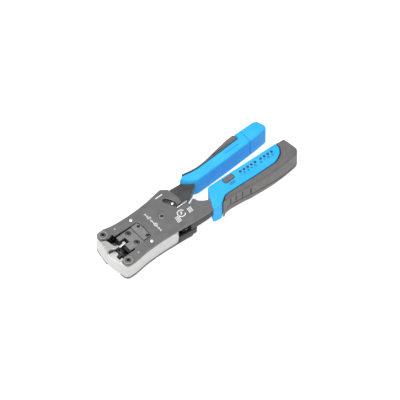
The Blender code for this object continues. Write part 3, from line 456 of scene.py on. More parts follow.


# %% [markdown]
# ### Painted and bare steel
# The head plates have a fine grey powder coat: a grain of about half a millimetre, a little cloudy,
# lighter on the edges from wear and a painted highlight. The nose strap is satin steel brushed round
# the nose; pins are ground bright, screws blackened, and the die parts are dull grey tool steel.

# %% Steel finishes
@once("powder_coat")
def powder_coat(name):
    paint, tree, shader = new_finish(name, 0.52, 0.3)
    cloud = cloudy(tree, noise(tree, 90, 2))
    base = mixed(tree, cloud, (0.098, 0.098, 0.100), (0.128, 0.128, 0.130))
    fleck = spread(tree, noise(tree, 2600, 2), 0.55, 0.72, 0, 0.55)
    base = mixed(tree, fleck, base, (0.19, 0.19, 0.195))
    wear_and_highlight = edge_wear_and_highlight(tree, 0.2, 0.7)
    coloured(tree, shader, wear_and_highlight, base, (0.27, 0.27, 0.275))
    roughened(tree, shader, noise(tree, 700), 0.42, 0.58)
    bumped(tree, shader, noise(tree, 1900, 2), 0.00004, 0.5)
    return paint


@once("satin_steel")
def satin_steel(name):
    paint, tree, shader = new_finish(name, 0.42, 0.55)
    streak = noise(tree, 900, 3, (0.06, 0.06, 1.0))
    base = mixed(tree, cloudy(tree, streak), (0.48, 0.48, 0.475), (0.57, 0.57, 0.565))
    smudge = spread(tree, noise(tree, 60, 2), 0.35, 0.65, 0, 0.35)
    coloured(tree, shader, smudge, base, (0.45, 0.45, 0.445))
    roughened(tree, shader, streak, 0.36, 0.5)
    bumped(tree, shader, streak, 0.00002, 0.4)
    return paint


@once("bright_steel")
def bright_steel(name):
    paint, tree, shader = new_finish(name, 0.22, 1.0)
    streak = noise(tree, 2200, 2, (1.0, 0.12, 1.0))
    coloured(tree, shader, cloudy(tree, streak), (0.74, 0.74, 0.74), (0.88, 0.88, 0.87))
    roughened(tree, shader, streak, 0.16, 0.3)
    return paint


@once("black_oxide")
def black_oxide(name):
    paint, tree, shader = new_finish(name, 0.42, 0.8)
    wear_and_highlight = edge_wear_and_highlight(tree, 0.1, 0.75)
    cloud = mixed(tree, cloudy(tree, noise(tree, 500)), (0.022, 0.022, 0.024), (0.04, 0.04, 0.043))
    coloured(tree, shader, wear_and_highlight, cloud, (0.17, 0.17, 0.17))
    roughened(tree, shader, noise(tree, 900), 0.34, 0.52)
    return paint


@once("tool_steel")
def tool_steel(name):
    paint, tree, shader = new_finish(name, 0.45, 0.6)
    grind = noise(tree, 1500, 2, (0.1, 1.0, 1.0))
    base = mixed(tree, cloudy(tree, grind), (0.16, 0.16, 0.165), (0.23, 0.23, 0.235))
    wear_and_highlight = edge_wear_and_highlight(tree, 0.1, 0.8)
    coloured(tree, shader, wear_and_highlight, base, (0.42, 0.42, 0.42))
    roughened(tree, shader, grind, 0.38, 0.55)
    bumped(tree, shader, grind, 0.00002, 0.4)
    return paint


# A darker copy of the plates' powder coat for the lever arm: painted shade where the lever lies under the
# head plate.
@once("painted_shade_coat")
def painted_shade_coat(name):
    paint, tree, shader = new_finish(name, 0.5, 0.3)
    cloud = cloudy(tree, noise(tree, 120, 2))
    base = mixed(tree, cloud, (0.036, 0.036, 0.037), (0.056, 0.056, 0.057))
    wear_and_highlight = edge_wear_and_highlight(tree, 0.2, 0.5)
    coloured(tree, shader, wear_and_highlight, base, (0.2, 0.2, 0.2))
    roughened(tree, shader, noise(tree, 700), 0.4, 0.56)
    return paint


# The cheek is the same steel as the strap; this darker copy of it is painted shade on the cheek. The weld
# spots use the same grey.
@once("shaded_nose_steel")
def shaded_nose_steel(name):
    paint, tree, shader = new_finish(name, 0.4, 0.6)
    feed = noise(tree, 1400, 2, (1.0, 0.08, 1.0))
    base = mixed(tree, cloudy(tree, feed), (0.31, 0.31, 0.305), (0.40, 0.40, 0.395))
    wear_and_highlight = edge_wear_and_highlight(tree, 0.2, 0.6)
    coloured(tree, shader, wear_and_highlight, base, (0.6, 0.6, 0.595))
    roughened(tree, shader, feed, 0.34, 0.48)
    return paint


# %% [markdown]
# ### Mouldings, grip and print
# The blue shells are a tough satin plastic with a spark-eroded grain; the grips are a softer rubber
# that scatters light and gathers dust. The lamps are dark clear lenses. The print is a thin ink with
# uneven cover: white on the head, dark on the handles.

# %% Plastic, rubber and print finishes
@once("blue_moulding")
def blue_moulding(name):
    paint, tree, shader = new_finish(name, 0.45)
    shader.inputs["Specular IOR Level"].default_value = 0.12
    cloud = cloudy(tree, noise(tree, 40, 2))
    base = mixed(tree, cloud, (0.026, 0.37, 0.77), (0.040, 0.42, 0.83))
    # The lighter blue on the rounded edges is a painted highlight.
    wear_and_highlight = edge_wear_and_highlight(tree, 0.3, 0.18)
    coloured(tree, shader, wear_and_highlight, base, (0.09, 0.52, 0.88))
    roughened(tree, shader, noise(tree, 1200), 0.40, 0.52)
    bumped(tree, shader, noise(tree, 3200, 1), 0.00002, 0.35)
    return paint


@once("grey_grip")
def grey_grip(name):
    paint, tree, shader = new_finish(name, 0.72)
    shader.inputs["Sheen Weight"].default_value = 0.06
    shader.inputs["Sheen Roughness"].default_value = 0.5
    dust = spread(tree, noise(tree, 160, 4), 0.35, 0.7, 0, 1)
    base = mixed(tree, dust, (0.098, 0.094, 0.091), (0.122, 0.117, 0.114))
    fleck = spread(tree, noise(tree, 3400, 2), 0.56, 0.7, 0, 0.3)
    coloured(tree, shader, fleck, base, (0.17, 0.164, 0.16))
    roughened(tree, shader, noise(tree, 800), 0.46, 0.62)
    bumped(tree, shader, noise(tree, 2400, 2), 0.00005, 0.6)
    return paint


@once("black_moulding")
def black_moulding(name):
    paint, tree, shader = new_finish(name, 0.5)
    coloured(tree, shader, cloudy(tree, noise(tree, 600)), (0.010, 0.010, 0.011), (0.022, 0.022, 0.023))
    roughened(tree, shader, noise(tree, 1500), 0.42, 0.6)
    return paint


@once("lamp_lens")
def lamp_lens(name):
    paint, tree, shader = new_finish(name, 0.12)
    shader.inputs["Coat Weight"].default_value = 0.6
    shader.inputs["Coat Roughness"].default_value = 0.05
    coloured(tree, shader, cloudy(tree, noise(tree, 1500)), (0.002, 0.014, 0.05), (0.005, 0.025, 0.08))
    return paint


@once("white_print")
def white_print(name):
    paint, tree, shader = new_finish(name, 0.6)
    thin = spread(tree, noise(tree, 2600, 2), 0.35, 0.6, 0.35, 0)
    coloured(tree, shader, thin, (0.80, 0.80, 0.79), (0.42, 0.42, 0.42))
    return paint


@once("dark_print")
def dark_print(name):
    paint, tree, shader = new_finish(name, 0.55)
    thin = spread(tree, noise(tree, 2600, 2), 0.35, 0.6, 0.3, 0)
    coloured(tree, shader, thin, (0.003, 0.035, 0.11), (0.008, 0.10, 0.28))
    return paint


@once("green_board")
def green_board(name):
    paint, tree, shader = new_finish(name, 0.4)
    patch = spread(tree, noise(tree, 700), 0.45, 0.55, 0, 1)
    coloured(tree, shader, patch, (0.015, 0.13, 0.05), (0.03, 0.22, 0.09))
    return paint


@once("battery_wrap")
def battery_wrap(name):
    paint, tree, shader = new_finish(name, 0.35, 0.9)
    coloured(tree, shader, cloudy(tree, noise(tree, 300)), (0.66, 0.45, 0.15), (0.78, 0.55, 0.22))
    return paint


FINISHES = {
    "plate": (powder_coat, "plate"),
    # The lever's darker coat is painted shade on plate material.
    "lever": (painted_shade_coat, "plate"),
    "cheek": (shaded_nose_steel, "nose_steel"),
    "nose": (satin_steel, "nose_steel"),
    "bright": (bright_steel, "bright_steel"),
    "dark": (black_oxide, "dark_steel"),
    "die": (tool_steel, "die_steel"),
    "black": (black_moulding, "black_plastic"),
    "blue": (blue_moulding, "blue_plastic"),
    "grey": (grey_grip, "grey_rubber"),
    "lamp": (lamp_lens, "lamp"),
    "white_ink": (white_print, "plate"),
    "dark_ink": (dark_print, "blue_plastic"),
    "board": (green_board, "board"),
    "battery": (battery_wrap, "battery_can"),
}
SLOT_FINISH = {
    "plate": "plate", "nose_steel": "nose", "bright_steel": "bright", "dark_steel": "dark",
    "die_steel": "die", "black_plastic": "black", "blue_plastic": "blue", "grey_rubber": "grey",
    "lamp": "lamp", "board": "board", "battery_can": "battery",
}
node_slot = {part["node"]: part["material_slot"] for part in frame["record"]["subparts"]}
for node, obj in frame["nodes"].items():
    maker, _ = FINISHES[SLOT_FINISH[node_slot[node]]]
    obj.data.materials.clear()
    obj.data.materials.append(maker())
print(len(made_finishes), "finishes on", len(frame["nodes"]), "solids")

# %% [markdown]
# ## Flat pieces with broken edges
# Most of the head is stamped or milled from flat stock. On the real tool no edge is knife sharp: it
# is tumbled or ground off by a few tenths of a millimetre, and that narrow band catches the light.
# A Bevel modifier would do for one plate, but the carried profile gives the same band everywhere
# and hands the paint its "edge" attribute, so one helper dresses every flat solid.

# %% Dress a flat solid
body_of_node = {node: body for body, nodes in frame["record"]["behaviour"]["bodies"].items()
                for node in nodes}


def heights(node):
    """Lowest and highest z of a solid."""
    lowest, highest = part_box(node)
    return lowest.z, highest.z


def outlines(node, height, rounds=2):
    """Loops of a solid at a height, with their shallow corners cut finer."""
    return [finer(loop, rounds) for loop in section(node, height)]


def stand_in(node, name, surface, finish, sharp=35.0):
    """Makes a piece of a surface (points, faces, edge shares) and lets it replace a solid."""
    points, faces, share = surface
    piece = make_piece(name, points, faces, body_of_node[node], finish, share, sharp)
    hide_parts(node)
    return piece


def dress(node, name, finish, radius, height=None, rounds=2):
    """Replaces a flat solid by its own outline carried along an edge profile of a radius in mm."""
    bottom, top = heights(node)
    loops = outlines(node, (bottom + top) / 2 if height is None else height, rounds)
    stand_in(node, name, carried(loops, edge_profile(bottom, top, radius * MM)), finish)


flat_pieces = (
    ("top_plate", "head_plate", "plate", 0.3), ("keeper_plate", "ram_keeper", "die", 0.15),
    ("nest_die", "plug_nest", "black", 0.12), ("strip_blade", "cable_blade", "bright", 0.35),
    ("contact_punch", "contact_comb", "dark", 0.12), ("leaf_spring", "strip_spring", "bright", 0.12),
    ("side_guard", "lower_guard", "black", 0.5), ("upper_guard", "outer_guard", "black", 0.35),
    # The fixed arm is coated steel like the plates; it gets the near-black moulding finish as painted shade
    # for the shadow it lies in under the head.
    ("lower_arm", "fixed_arm", "black", 0.8), ("lever_arm", "handle_lever", "lever", 0.6),
    ("nose_washer_upper", "upper_washer", "die", 0.3),
    ("nose_washer_lower", "lower_washer", "die", 0.3),
    ("keeper_rivet_upper", "upper_rivet", "dark", 0.15),
    ("keeper_rivet_lower", "lower_rivet", "dark", 0.15),
    ("drive_link", "ram_link", "die", 0.25), ("ratchet_sector", "toothed_sector", "die", 0.2),
    ("ratchet_pawl", "sector_pawl", "die", 0.2),
)
for node, name, finish, radius in flat_pieces:
    dress(node, name, finish, radius)
dress("bottom_plate", "base_plate", "plate", 0.4, height=0.6 * MM)
print(len(flat_pieces) + 1, "flat pieces dressed")

# %% [markdown]
# ## Pieces whose outline changes with height
# The ram is notched for the link, so one outline won't do. It is cut into level slabs, each with
# the outline found at its own height; the slabs meet in planes that nobody can see between.

# %% The ram
def joined(shells):
    """Several closed surfaces as one set of points, faces and edge shares."""
    points, faces, share = [], [], []
    start = 0
    for shell_points, shell_faces, shell_share in shells:
        points.append(shell_points)
        faces += [[corner + start for corner in face] for face in shell_faces]
        share.append(shell_share)
        start += len(shell_points)
    return np.concatenate(points), faces, np.concatenate(share)


link_bottom, link_top = heights("drive_link")
ram_bottom, ram_top = heights("ram_carriage")
clear = 0.3 * MM
levels = (ram_bottom, link_bottom - clear, link_top + clear, ram_top)
slabs = [carried(outlines("ram_carriage", (bottom + top) / 2), edge_profile(bottom, top, 0.12 * MM))
         for bottom, top in zip(levels, levels[1:])]
ram = stand_in("ram_carriage", "ram_block", joined(slabs), "die")
print("the ram has", len(ram.data.vertices), "points in", len(slabs), "slabs")

# %% [markdown]
# ## The nose strap
# The light strap is a band of steel bent round the nose. It is a rounded rectangle carried along
# the outer line of the band. Two functions of the distance along the path set how high the band
# is: it dips at the mouth, where the cable goes in, rises to the top plate's level beside it, and
# its two ends are rounded like the end of a ruler.

# %% Strap path
nose_bottom, nose_top = heights("nose_frame")
core_top = heights("nest_die")[1]
ramp_top = core_top - 2.5 * MM


def smooth_step(value, start, stop):
    """0 before start, 1 after stop, and 3t^2 - 2t^3 in between."""
    t = np.clip((value - start) / (stop - start), 0, 1)
    return t * t * (3 - 2 * t)


def spaced(path, step, closed=True):
    """Points at even distances along a path: positions interpolated over the running length."""
    if closed:
        path = np.vstack([path, path[:1]])
    length = np.concatenate([[0], np.cumsum(np.linalg.norm(np.diff(path, axis=0), axis=1))])
    count = max(8, int(round(length[-1] / step)))
    places = np.linspace(0, length[-1], count + 1)
    even = np.column_stack([np.interp(places, length, path[:, k]) for k in (0, 1)])
    return even[:-1] if closed else even


def strap_path():
    """Outer line of the band: the loop's points between its two outermost end corners."""
    loop = section("nose_frame", nose_bottom + 1 * MM)[0]
    ends = np.flatnonzero(loop[:, 0] > loop[:, 0].max() - 0.3 * MM)
    first = ends[np.argmax(loop[ends, 1])]
    loop = np.roll(loop, -first, axis=0)
    ends = np.flatnonzero(loop[:, 0] > loop[:, 0].max() - 0.3 * MM)
    last = ends[np.argmin(loop[ends, 1])]
    path = loop[:last + 1]
    for _ in range(3):
        cut_in = path[:-1] + (path[1:] - path[:-1]) * 0.25
        cut_out = path[:-1] + (path[1:] - path[:-1]) * 0.75
        path = np.vstack([path[:1], np.stack([cut_in, cut_out], axis=1).reshape(-1, 2), path[-1:]])
    path = spaced(path, 0.5 * MM, closed=False)
    for _ in range(8):
        path[1:-1] = (path[:-2] + 2 * path[1:-1] + path[2:]) / 4
    return path


path = strap_path()
cheek_loop = section("nose_frame", nose_top - 1 * MM)[0]
cheek_front = cheek_loop[cheek_loop[:, 0] < cheek_loop[:, 0].min() + 1.5 * MM]
print("strap path of", len(path), "points, cheek from y", np.round(cheek_front[:, 1].min() / MM, 1))

# %% [markdown]
# ### The band itself
# Every point of the path carries the same rounded rectangle, so the band is one grid. The rise and
# the dip are windows: functions that are 1 along one stretch of the front and fade to 0 on both
# sides of it. The rounded ends are quarter ellipses, taller than they are long.

# %% The strap surface
THICK, CORNER, CORNER_ROWS = 2.4 * MM, 0.5 * MM, 4
RAISED = (1.6 * MM, 2.6 * MM, 12.6 * MM, 14.2 * MM)
DIPPED = (-14.6 * MM, -13.6 * MM, 1.2 * MM, 2.2 * MM)


def window(value, start, full, fading, stop):
    """0 before start, 1 between full and fading, 0 after stop, with smooth steps in between."""
    return smooth_step(value, start, full) * smooth_step(-value, -stop, -fading)


def end_round(to_end, reach, size):
    """Quarter ellipse: the whole size at the very end of the band, nothing beyond the reach."""
    return size * (1 - np.sqrt(1 - (1 - np.clip(to_end / reach, 0, 1)) ** 2))


def strap():
    """Grid over (place along the path, place round the section). A point is the path's point, plus
    its normal times the depth, at the foot height plus or the top height minus an offset."""
    tangent = np.gradient(path, axis=0)
    tangent /= np.linalg.norm(tangent, axis=1)[:, None]
    normal = np.column_stack([-tangent[:, 1], tangent[:, 0]])
    gone = np.concatenate([[0], np.cumsum(np.linalg.norm(np.diff(path, axis=0), axis=1))])
    to_end = np.minimum(gone, gone[-1] - gone)
    at_front = path[:, 0] < cheek_loop[:, 0].max() - 5 * MM
    rise = window(path[:, 1], *RAISED) * (nose_top - 0.15 * MM - core_top)
    dip = window(path[:, 1], *DIPPED) * (ramp_top - core_top)
    top = core_top + at_front * (rise + dip) - end_round(to_end, 6.6 * MM, 9 * MM)
    foot = nose_bottom + end_round(to_end, 3.6 * MM, 7 * MM)
    a = np.linspace(0, math.pi / 2, CORNER_ROWS)
    arc_in, arc_up = CORNER * (1 - np.cos(a)), CORNER * (1 - np.sin(a))
    depth = np.concatenate([arc_in[::-1], arc_in, THICK - arc_in[::-1], THICK - arc_in])
    offset = np.concatenate([arc_up[::-1], arc_up, arc_up[::-1], arc_up])
    is_top = np.repeat([False, True, True, False], CORNER_ROWS)
    flat = path[:, None, :] + normal[:, None, :] * depth[None, :, None]
    z = np.where(is_top, top[:, None] - offset, foot[:, None] + offset)
    grid = np.concatenate([flat, z[..., None]], axis=2)
    rows, columns = grid.shape[:2]
    faces = grid_faces(rows, columns, 0)[:, ::-1].tolist()
    faces.append(list(range(columns)))
    faces.append(list(range(rows * columns - columns, rows * columns))[::-1])
    share = np.tile(np.repeat([0.3, 0.9, 0.9, 0.3], CORNER_ROWS), rows)
    return grid.reshape(-1, 3), faces, share


nose_strap = stand_in("nose_frame", "nose_strap", strap(), "nose", sharp=50)
print("strap:", len(nose_strap.data.polygons), "faces")

# %% [markdown]
# ## Ramp and cheek
# Inside the strap sits the ramp that the cable slides over, and above the mouth the flat cheek with
# its thin lip. Both are outlines of the same solid at other heights. The ramp is moved in a little so
# that it stays inside the strap, and lifted a hair so that no two surfaces share a plane.

# %% Ramp and cheek
inside, hair = 0.35 * MM, 0.06 * MM
ramp_loops = [inset(spaced(loop, 0.4 * MM), inside) for loop in section("nose_frame", ramp_top - 1 * MM)]
ramp_shell = carried(ramp_loops, edge_profile(nose_bottom + inside, ramp_top + hair, 0.4 * MM))
root_profile = edge_profile(ramp_top - 1 * MM, core_top - inside, 0.1 * MM)
root_shells = [carried([inset(loop, inside)], root_profile)
               for loop in outlines("nose_frame", core_top - 0.6 * MM)]
cheek_shell = carried([finer(cheek_loop)], edge_profile(core_top + 0.3 * MM, nose_top, 0.4 * MM))
stand_in("nose_frame", "nose_ramp", joined([ramp_shell] + root_shells), "nose")
# The cheek gets the darker copy of the nose steel: painted shade.
stand_in("nose_frame", "nose_cheek", cheek_shell, "cheek")
print("the ramp lies", round((nose_top - ramp_top) / MM, 2), "mm below the cheek")

# %% [markdown]
# ## Turned pieces and their recesses
# Screws and pins are turned: a profile of radius and height is swept round an axis. Where a screw
# has a drive recess, the radius is a function of the angle too: a hexagon is a constant width over
# the cosine of the angle from the nearest flat, and a cross is the smaller of the arm's length and
# half its width over the sine of the angle from its middle. One grid then makes head and recess.

# %% Turned surfaces
SIDES, LIP = 72, 0.2 * MM


def hexagon(angle, width):
    """Radius of a hexagon of that width across flats."""
    return width / 2 / np.cos((angle + math.pi / 6) % (math.pi / 3) - math.pi / 6)


def cross(angle, length, width):
    """Radius of a cross recess with arms of that length and width."""
    away = np.abs((angle + math.pi / 4) % (math.pi / 2) - math.pi / 4)
    return np.minimum(length, width / 2 / np.maximum(np.sin(away), 1e-3))


def turned(x, y, rows, sides=SIDES):
    """Grid over (row, angle): x + r cos, y + r sin, z. A row is (radius or radii, height, share); a
    point on the axis closes each end."""
    angle = np.linspace(0, math.tau, sides, endpoint=False)
    radius = np.array([np.broadcast_to(row[0], sides) for row in rows])
    z = np.array([np.full(sides, row[1]) for row in rows])
    grid = np.stack([x + radius * np.cos(angle), y + radius * np.sin(angle), z], axis=-1).reshape(-1, 3)
    points = np.vstack([grid, [x, y, rows[0][1]], [x, y, rows[-1][1]]])
    faces = grid_faces(len(rows), sides, 0).tolist()
    ring = np.arange(sides)
    after = (ring + 1) % sides
    last = (len(rows) - 1) * sides
    faces += np.stack([after, ring, np.full(sides, len(grid))], axis=1).tolist()
    faces += np.stack([ring + last, after + last, np.full(sides, len(grid) + 1)], axis=1).tolist()
    share = np.concatenate([np.repeat([row[2] for row in rows], sides), [0, 0]])
    return points, faces, share


def middle(node):
    """Axis and radius of an upright round solid, from its box."""
    lowest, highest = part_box(node)
    return (lowest.x + highest.x) / 2, (lowest.y + highest.y) / 2, (highest.x - lowest.x) / 2


def screw(node, name, finish, recess, depth, rim, up=True):
    """Screw of the node's size: chamfered head with a rim that wide, then the recess's lip, wall and
    floor. A screw that faces down is the same surface mirrored, with its faces turned round."""
    x, y, radius = middle(node)
    bottom, top = heights(node)
    hole = recess(np.linspace(0, math.tau, SIDES, endpoint=False))
    rows = [(radius - rim, bottom, 0), (radius, bottom + rim, 0), (radius, top - rim, 0.2),
            (radius - rim * 0.4, top - rim * 0.3, 0.8), (radius - rim, top, 0.9),
            (hole + LIP, top, 0.5), (hole, top - LIP, 0.9),
            (hole * 0.96, top - depth, 0), (hole * 0.2, top - depth, 0)]
    points, faces, share = turned(x, y, rows)
    if not up:
        points[:, 2] = bottom + top - points[:, 2]
        faces = [face[::-1] for face in faces]
    stand_in(node, name, (points, faces, share), finish, sharp=30)


for word in ("upper", "lower"):
    screw("nose_screw_" + word, word + "_nose_screw", "dark", lambda a: hexagon(a, 2.6 * MM),
          2.4 * MM, 0.35 * MM)
    screw("die_screw_" + word, word + "_die_screw", "dark", lambda a: cross(a, 1.7 * MM, 0.9 * MM),
          1.1 * MM, 0.5 * MM)
screw("pivot_screw", "pivot_bolt", "plate", lambda a: hexagon(a, 3.2 * MM), 2.6 * MM, 0.3 * MM)
print("the pivot bolt's head is", round(2 * middle("pivot_screw")[2] / MM, 1), "mm wide")

# %% [markdown]
# ## Pins
# The dowels are hardened ground pins, slightly domed; they are the brightest spots on the head.

# %% Dowels, guide pin and inner pins
DOME = 0.5 * MM


def pin(node, name):
    """Bright pin of the node's size: a chamfered foot, then rows on an arc from the rim to the
    middle of its dome."""
    x, y, radius = middle(node)
    bottom, top = heights(node)
    rows = [(radius - 0.2 * MM, bottom, 0), (radius, bottom + 0.2 * MM, 0)]
    rows += [(radius * math.cos(a), top - DOME + DOME * math.sin(a), 0.3)
             for a in np.linspace(0, math.pi / 2, 6)[:-1]]
    stand_in(node, name, turned(x, y, rows), "bright", sharp=60)


pins = {"dowel_pin_upper": "upper_dowel", "dowel_pin_lower": "lower_dowel", "guide_pin": "slot_pin",
        "crank_pin": "link_pin", "ram_pin": "eye_pin", "pawl_pin": "catch_pin"}
for node, name in pins.items():
    pin(node, name)
print(len(pins), "pins, the thickest", round(2 * max(middle(node)[2] for node in pins) / MM, 1), "mm")

# %% [markdown]
# ## Moulded handles
# A handle half is a wall that follows its outline from the lower face to the upper one, with a
# generous radius at both. Real mouldings don't have the same radius everywhere: it is small where
# two pieces meet and large where the hand goes. So the depth of the edge profile is multiplied by
# a weight that is a function of the place along the outline, and screws, lamps and the button sit in
# pockets in the flat faces.

# %% A moulded body
CHAMFER, OVERRUN, WALL_STEPS = 0.25 * MM, 1.15, 7


def moulded(outline, depth, height, share, tops=(), bottoms=()):
    """Grid over (row up the wall, place along the outline): the outline moved in by depth[row,
    place], at height[row, place]. Pockets are (loop, depth) in the top or the bottom face."""
    rows, count = depth.shape
    ring = np.array([inset(outline, depth[k]) for k in range(rows)])
    points = [np.concatenate([ring, height[..., None]], axis=2).reshape(-1, 3)]
    shares = [np.broadcast_to(share[:, None], (rows, count)).reshape(-1)]
    faces = grid_faces(rows, count, 0).tolist()
    face_rings = {True: [np.arange(count) + (rows - 1) * count], False: [np.arange(count)]}
    floors = []
    start = rows * count
    for upward, pockets in ((True, tops), (False, bottoms)):
        level = height[-1].max() if upward else height[0].min()
        sign = -1 if upward else 1
        for loop, deep in pockets:
            steps = [(CHAMFER, level, 0.9), (0.0, level + sign * CHAMFER, 0.5),
                     (0.0, level + sign * deep, 0.0)]
            if upward:
                steps = steps[::-1]
            points += [np.column_stack([inset(loop, d), np.full(len(loop), z)]) for d, z, _ in steps]
            shares.append(np.repeat([s for *_, s in steps], len(loop)))
            faces += grid_faces(len(steps), len(loop), start).tolist()
            low_ring = np.arange(len(loop)) + start
            high_ring = low_ring + 2 * len(loop)
            face_rings[upward].append(high_ring if upward else low_ring)
            floors.append((low_ring if upward else high_ring, upward))
            start += 3 * len(loop)
    points = np.concatenate(points)
    faces += cap_faces(points, face_rings[True], True).tolist()
    faces += cap_faces(points, face_rings[False], False).tolist()
    for floor_ring, upward in floors:
        faces += cap_faces(points, [floor_ring], upward).tolist()
    return points, faces, np.concatenate(shares)


def wall_rows(bottom, top, low_radius, high_radius, middle_rows):
    """Rows of (share of low radius, share of high radius, height, edge) up a wall. The first and the
    last one run on inwards past the radius, so that the caps shade flat."""
    a = np.linspace(0, math.pi / 2, WALL_STEPS)
    rows = [(OVERRUN, 0, bottom, 0.0)]
    rows += [(1 - math.sin(t), 0, bottom + low_radius * (1 - math.cos(t)), 0.4) for t in a]
    rows += [(0, 0, z, 0.0) for z in middle_rows]
    rows += [(0, 1 - math.cos(t), top - high_radius * (1 - math.sin(t)), math.sin(2 * t)) for t in a]
    rows.append((0, OVERRUN, top, 0.0))
    return np.array(rows)


def outward(outline):
    """Unit normals that point away from the material of a counter-clockwise outline."""
    along = np.roll(outline, -1, axis=0) - np.roll(outline, 1, axis=0)
    along /= np.linalg.norm(along, axis=1)[:, None]
    return np.column_stack([along[:, 1], -along[:, 0]])


def gap_to(outline, other):
    """Distance from each point of an outline to the nearest point of another one."""
    return np.min(np.linalg.norm(outline[:, None, :] - other[None, :, :], axis=2), axis=1)


def evened(node, height, step=0.5):
    """Largest loop of a node at a height, corners cut finer and points evenly spaced."""
    return spaced(finer(section(node, height * MM)[0], 3), step * MM)


def pockets_of(node, height, deep):
    """Pocket outlines of a solid: every loop but the largest at a height inside the pockets."""
    return [(finer(loop), deep) for loop in section(node, height)[1:]]


grip_line = evened("lower_grip", 3.0)
blue_line = evened("lower_shell", 4.0)
print("outlines of", len(grip_line), "and", len(blue_line), "points")

# %% [markdown]
# ## The fixed handle
# The blue shell of the fixed handle carries the button and a row of lamps in its face. Beside the
# grip its edge radius is small, so that only a groove shows between the two plastics.

# %% Fixed handle shell
face_bottom, face_top = heights("lower_shell")
beside = np.clip((gap_to(blue_line, grip_line) - 0.5 * MM) / (3 * MM), 0.35, 1)
low_radius, high_radius = 2.0 * MM, 2.2 * MM
rows = wall_rows(face_bottom, face_top, low_radius, high_radius, [6 * MM, 12 * MM, 18 * MM])
depth = (rows[:, 0:1] * low_radius + rows[:, 1:2] * high_radius) * beside
height = np.broadcast_to(rows[:, 2:3], depth.shape)
tops = pockets_of("lower_shell", face_top - 1 * MM, 2.2 * MM)
bottoms = pockets_of("lower_shell", face_bottom + 0.8 * MM, 1.9 * MM)
shell = moulded(blue_line, depth, height, rows[:, 3], tops, bottoms)
stand_in("lower_shell", "fixed_handle_shell", shell, "blue", sharp=40)
print("fixed shell with", len(tops), "pockets above and", len(bottoms), "below")

# %% [markdown]
# ## The grip
# The grip is a softer plastic moulded round the outside of the fixed handle. Its parting line runs
# as a fine groove along the side and climbs towards the front, where four short upright notches
# rise from it. A groove is one row of points moved in; a notch is a bell curve along the outline.

# %% Grip
outer = np.clip((gap_to(grip_line, blue_line) - 0.6 * MM) / (3.5 * MM), 0.2, 1)
grip_bottom, grip_top = heights("lower_grip")
along_grip = grip_line[:, 0]
part_line = 10.5 * MM - 4.2 * MM * smooth_step(along_grip, 62 * MM, 150 * MM)
low_radius, high_radius = 4.2 * MM, 2.4 * MM
ends = wall_rows(grip_bottom, grip_top, low_radius, high_radius, [])
foot, cap = ends[:WALL_STEPS + 1], ends[WALL_STEPS + 1:]
groove = ((-0.7, 0.0), (0.0, 1.3), (0.7, 0.0))
notch_z = np.linspace(1.2, 10.5, 10)
depth_rows = [row[0] * low_radius * outer for row in foot]
height_rows = [np.full(len(grip_line), row[2]) for row in foot]
edges = [row[3] for row in foot]
for lift, deep in groove:
    depth_rows.append(deep * MM * (outer > 0.9))
    height_rows.append(part_line + lift * MM)
    edges.append(0.0)
notches = sum(np.exp(-((along_grip - x * MM) / (0.5 * MM)) ** 4) for x in (65.5, 72.0, 79.5, 89.0))
for k, z in enumerate(notch_z):
    fade = 1.0 if 0 < k < len(notch_z) - 1 else 0.0
    depth_rows.append(1.5 * MM * notches * (outer > 0.9) * fade)
    height_rows.append(part_line + z * MM)
    edges.append(0.0)
depth_rows += [row[1] * high_radius * outer for row in cap]
height_rows += [np.full(len(grip_line), row[2]) for row in cap]
edges += [row[3] for row in cap]
grip_surface = moulded(grip_line, np.array(depth_rows), np.array(height_rows), np.array(edges))
print("grip of", len(grip_surface[0]), "points")

# %% [markdown]
# ### Openings for the jacks
# The mouths of the jacks go through walls that are already rounded. Working such an opening into the
# grid would bend its rows round it, so here a Boolean modifier cuts a box out of the finished wall.
# The exact solver keeps the point attributes, so the edge shares come through the cut.

# %% Jack opening in the grip
def boxes(lows, highs):
    """Boxes between lists of lower and upper corners, as one set of points and faces."""
    lows, highs = np.asarray(lows, dtype=float), np.asarray(highs, dtype=float)
    pick = np.array([(i, j, k) for k in (0, 1) for j in (0, 1) for i in (0, 1)])
    both = np.stack([lows, highs], axis=1)
    points = np.stack([both[:, pick[:, axis], axis] for axis in range(3)], axis=-1).reshape(-1, 3)
    one = np.array([(0, 2, 3, 1), (4, 5, 7, 6), (0, 1, 5, 4), (2, 6, 7, 3), (0, 4, 6, 2), (1, 3, 7, 5)])
    faces = (one[None] + 8 * np.arange(len(lows))[:, None, None]).reshape(-1, 4).tolist()
    return points, faces


def helper_object(name, points, faces):
    """Plain object for a cut, thrown away afterwards."""
    mesh = bpy.data.meshes.new(name)
    mesh.from_pydata([tuple(p) for p in points], [], [tuple(f) for f in faces])
    helper = bpy.data.objects.new(name, mesh)
    scene.collection.objects.link(helper)
    return helper


def opened(surface, lowest, highest):
    """Cuts the box between two corners out of a closed surface, with an exact Boolean that is
    applied at once."""
    points, faces, share = surface
    solid = helper_object("solid", points, faces)
    edge = solid.data.attributes.new("edge", "FLOAT", "POINT")
    edge.data.foreach_set("value", np.asarray(share, dtype=np.float32))
    block = helper_object("cut", *boxes([lowest], [highest]))
    step = solid.modifiers.new("opening", "BOOLEAN")
    step.object = block
    step.solver = "EXACT"
    result = bpy.data.meshes.new_from_object(solid.evaluated_get(bpy.context.evaluated_depsgraph_get()))
    kept = np.zeros(len(result.vertices), dtype=np.float32)
    result.attributes["edge"].data.foreach_get("value", kept)
    bpy.data.objects.remove(solid)
    bpy.data.objects.remove(block)
    return [tuple(v.co) for v in result.vertices], [tuple(p.vertices) for p in result.polygons], kept


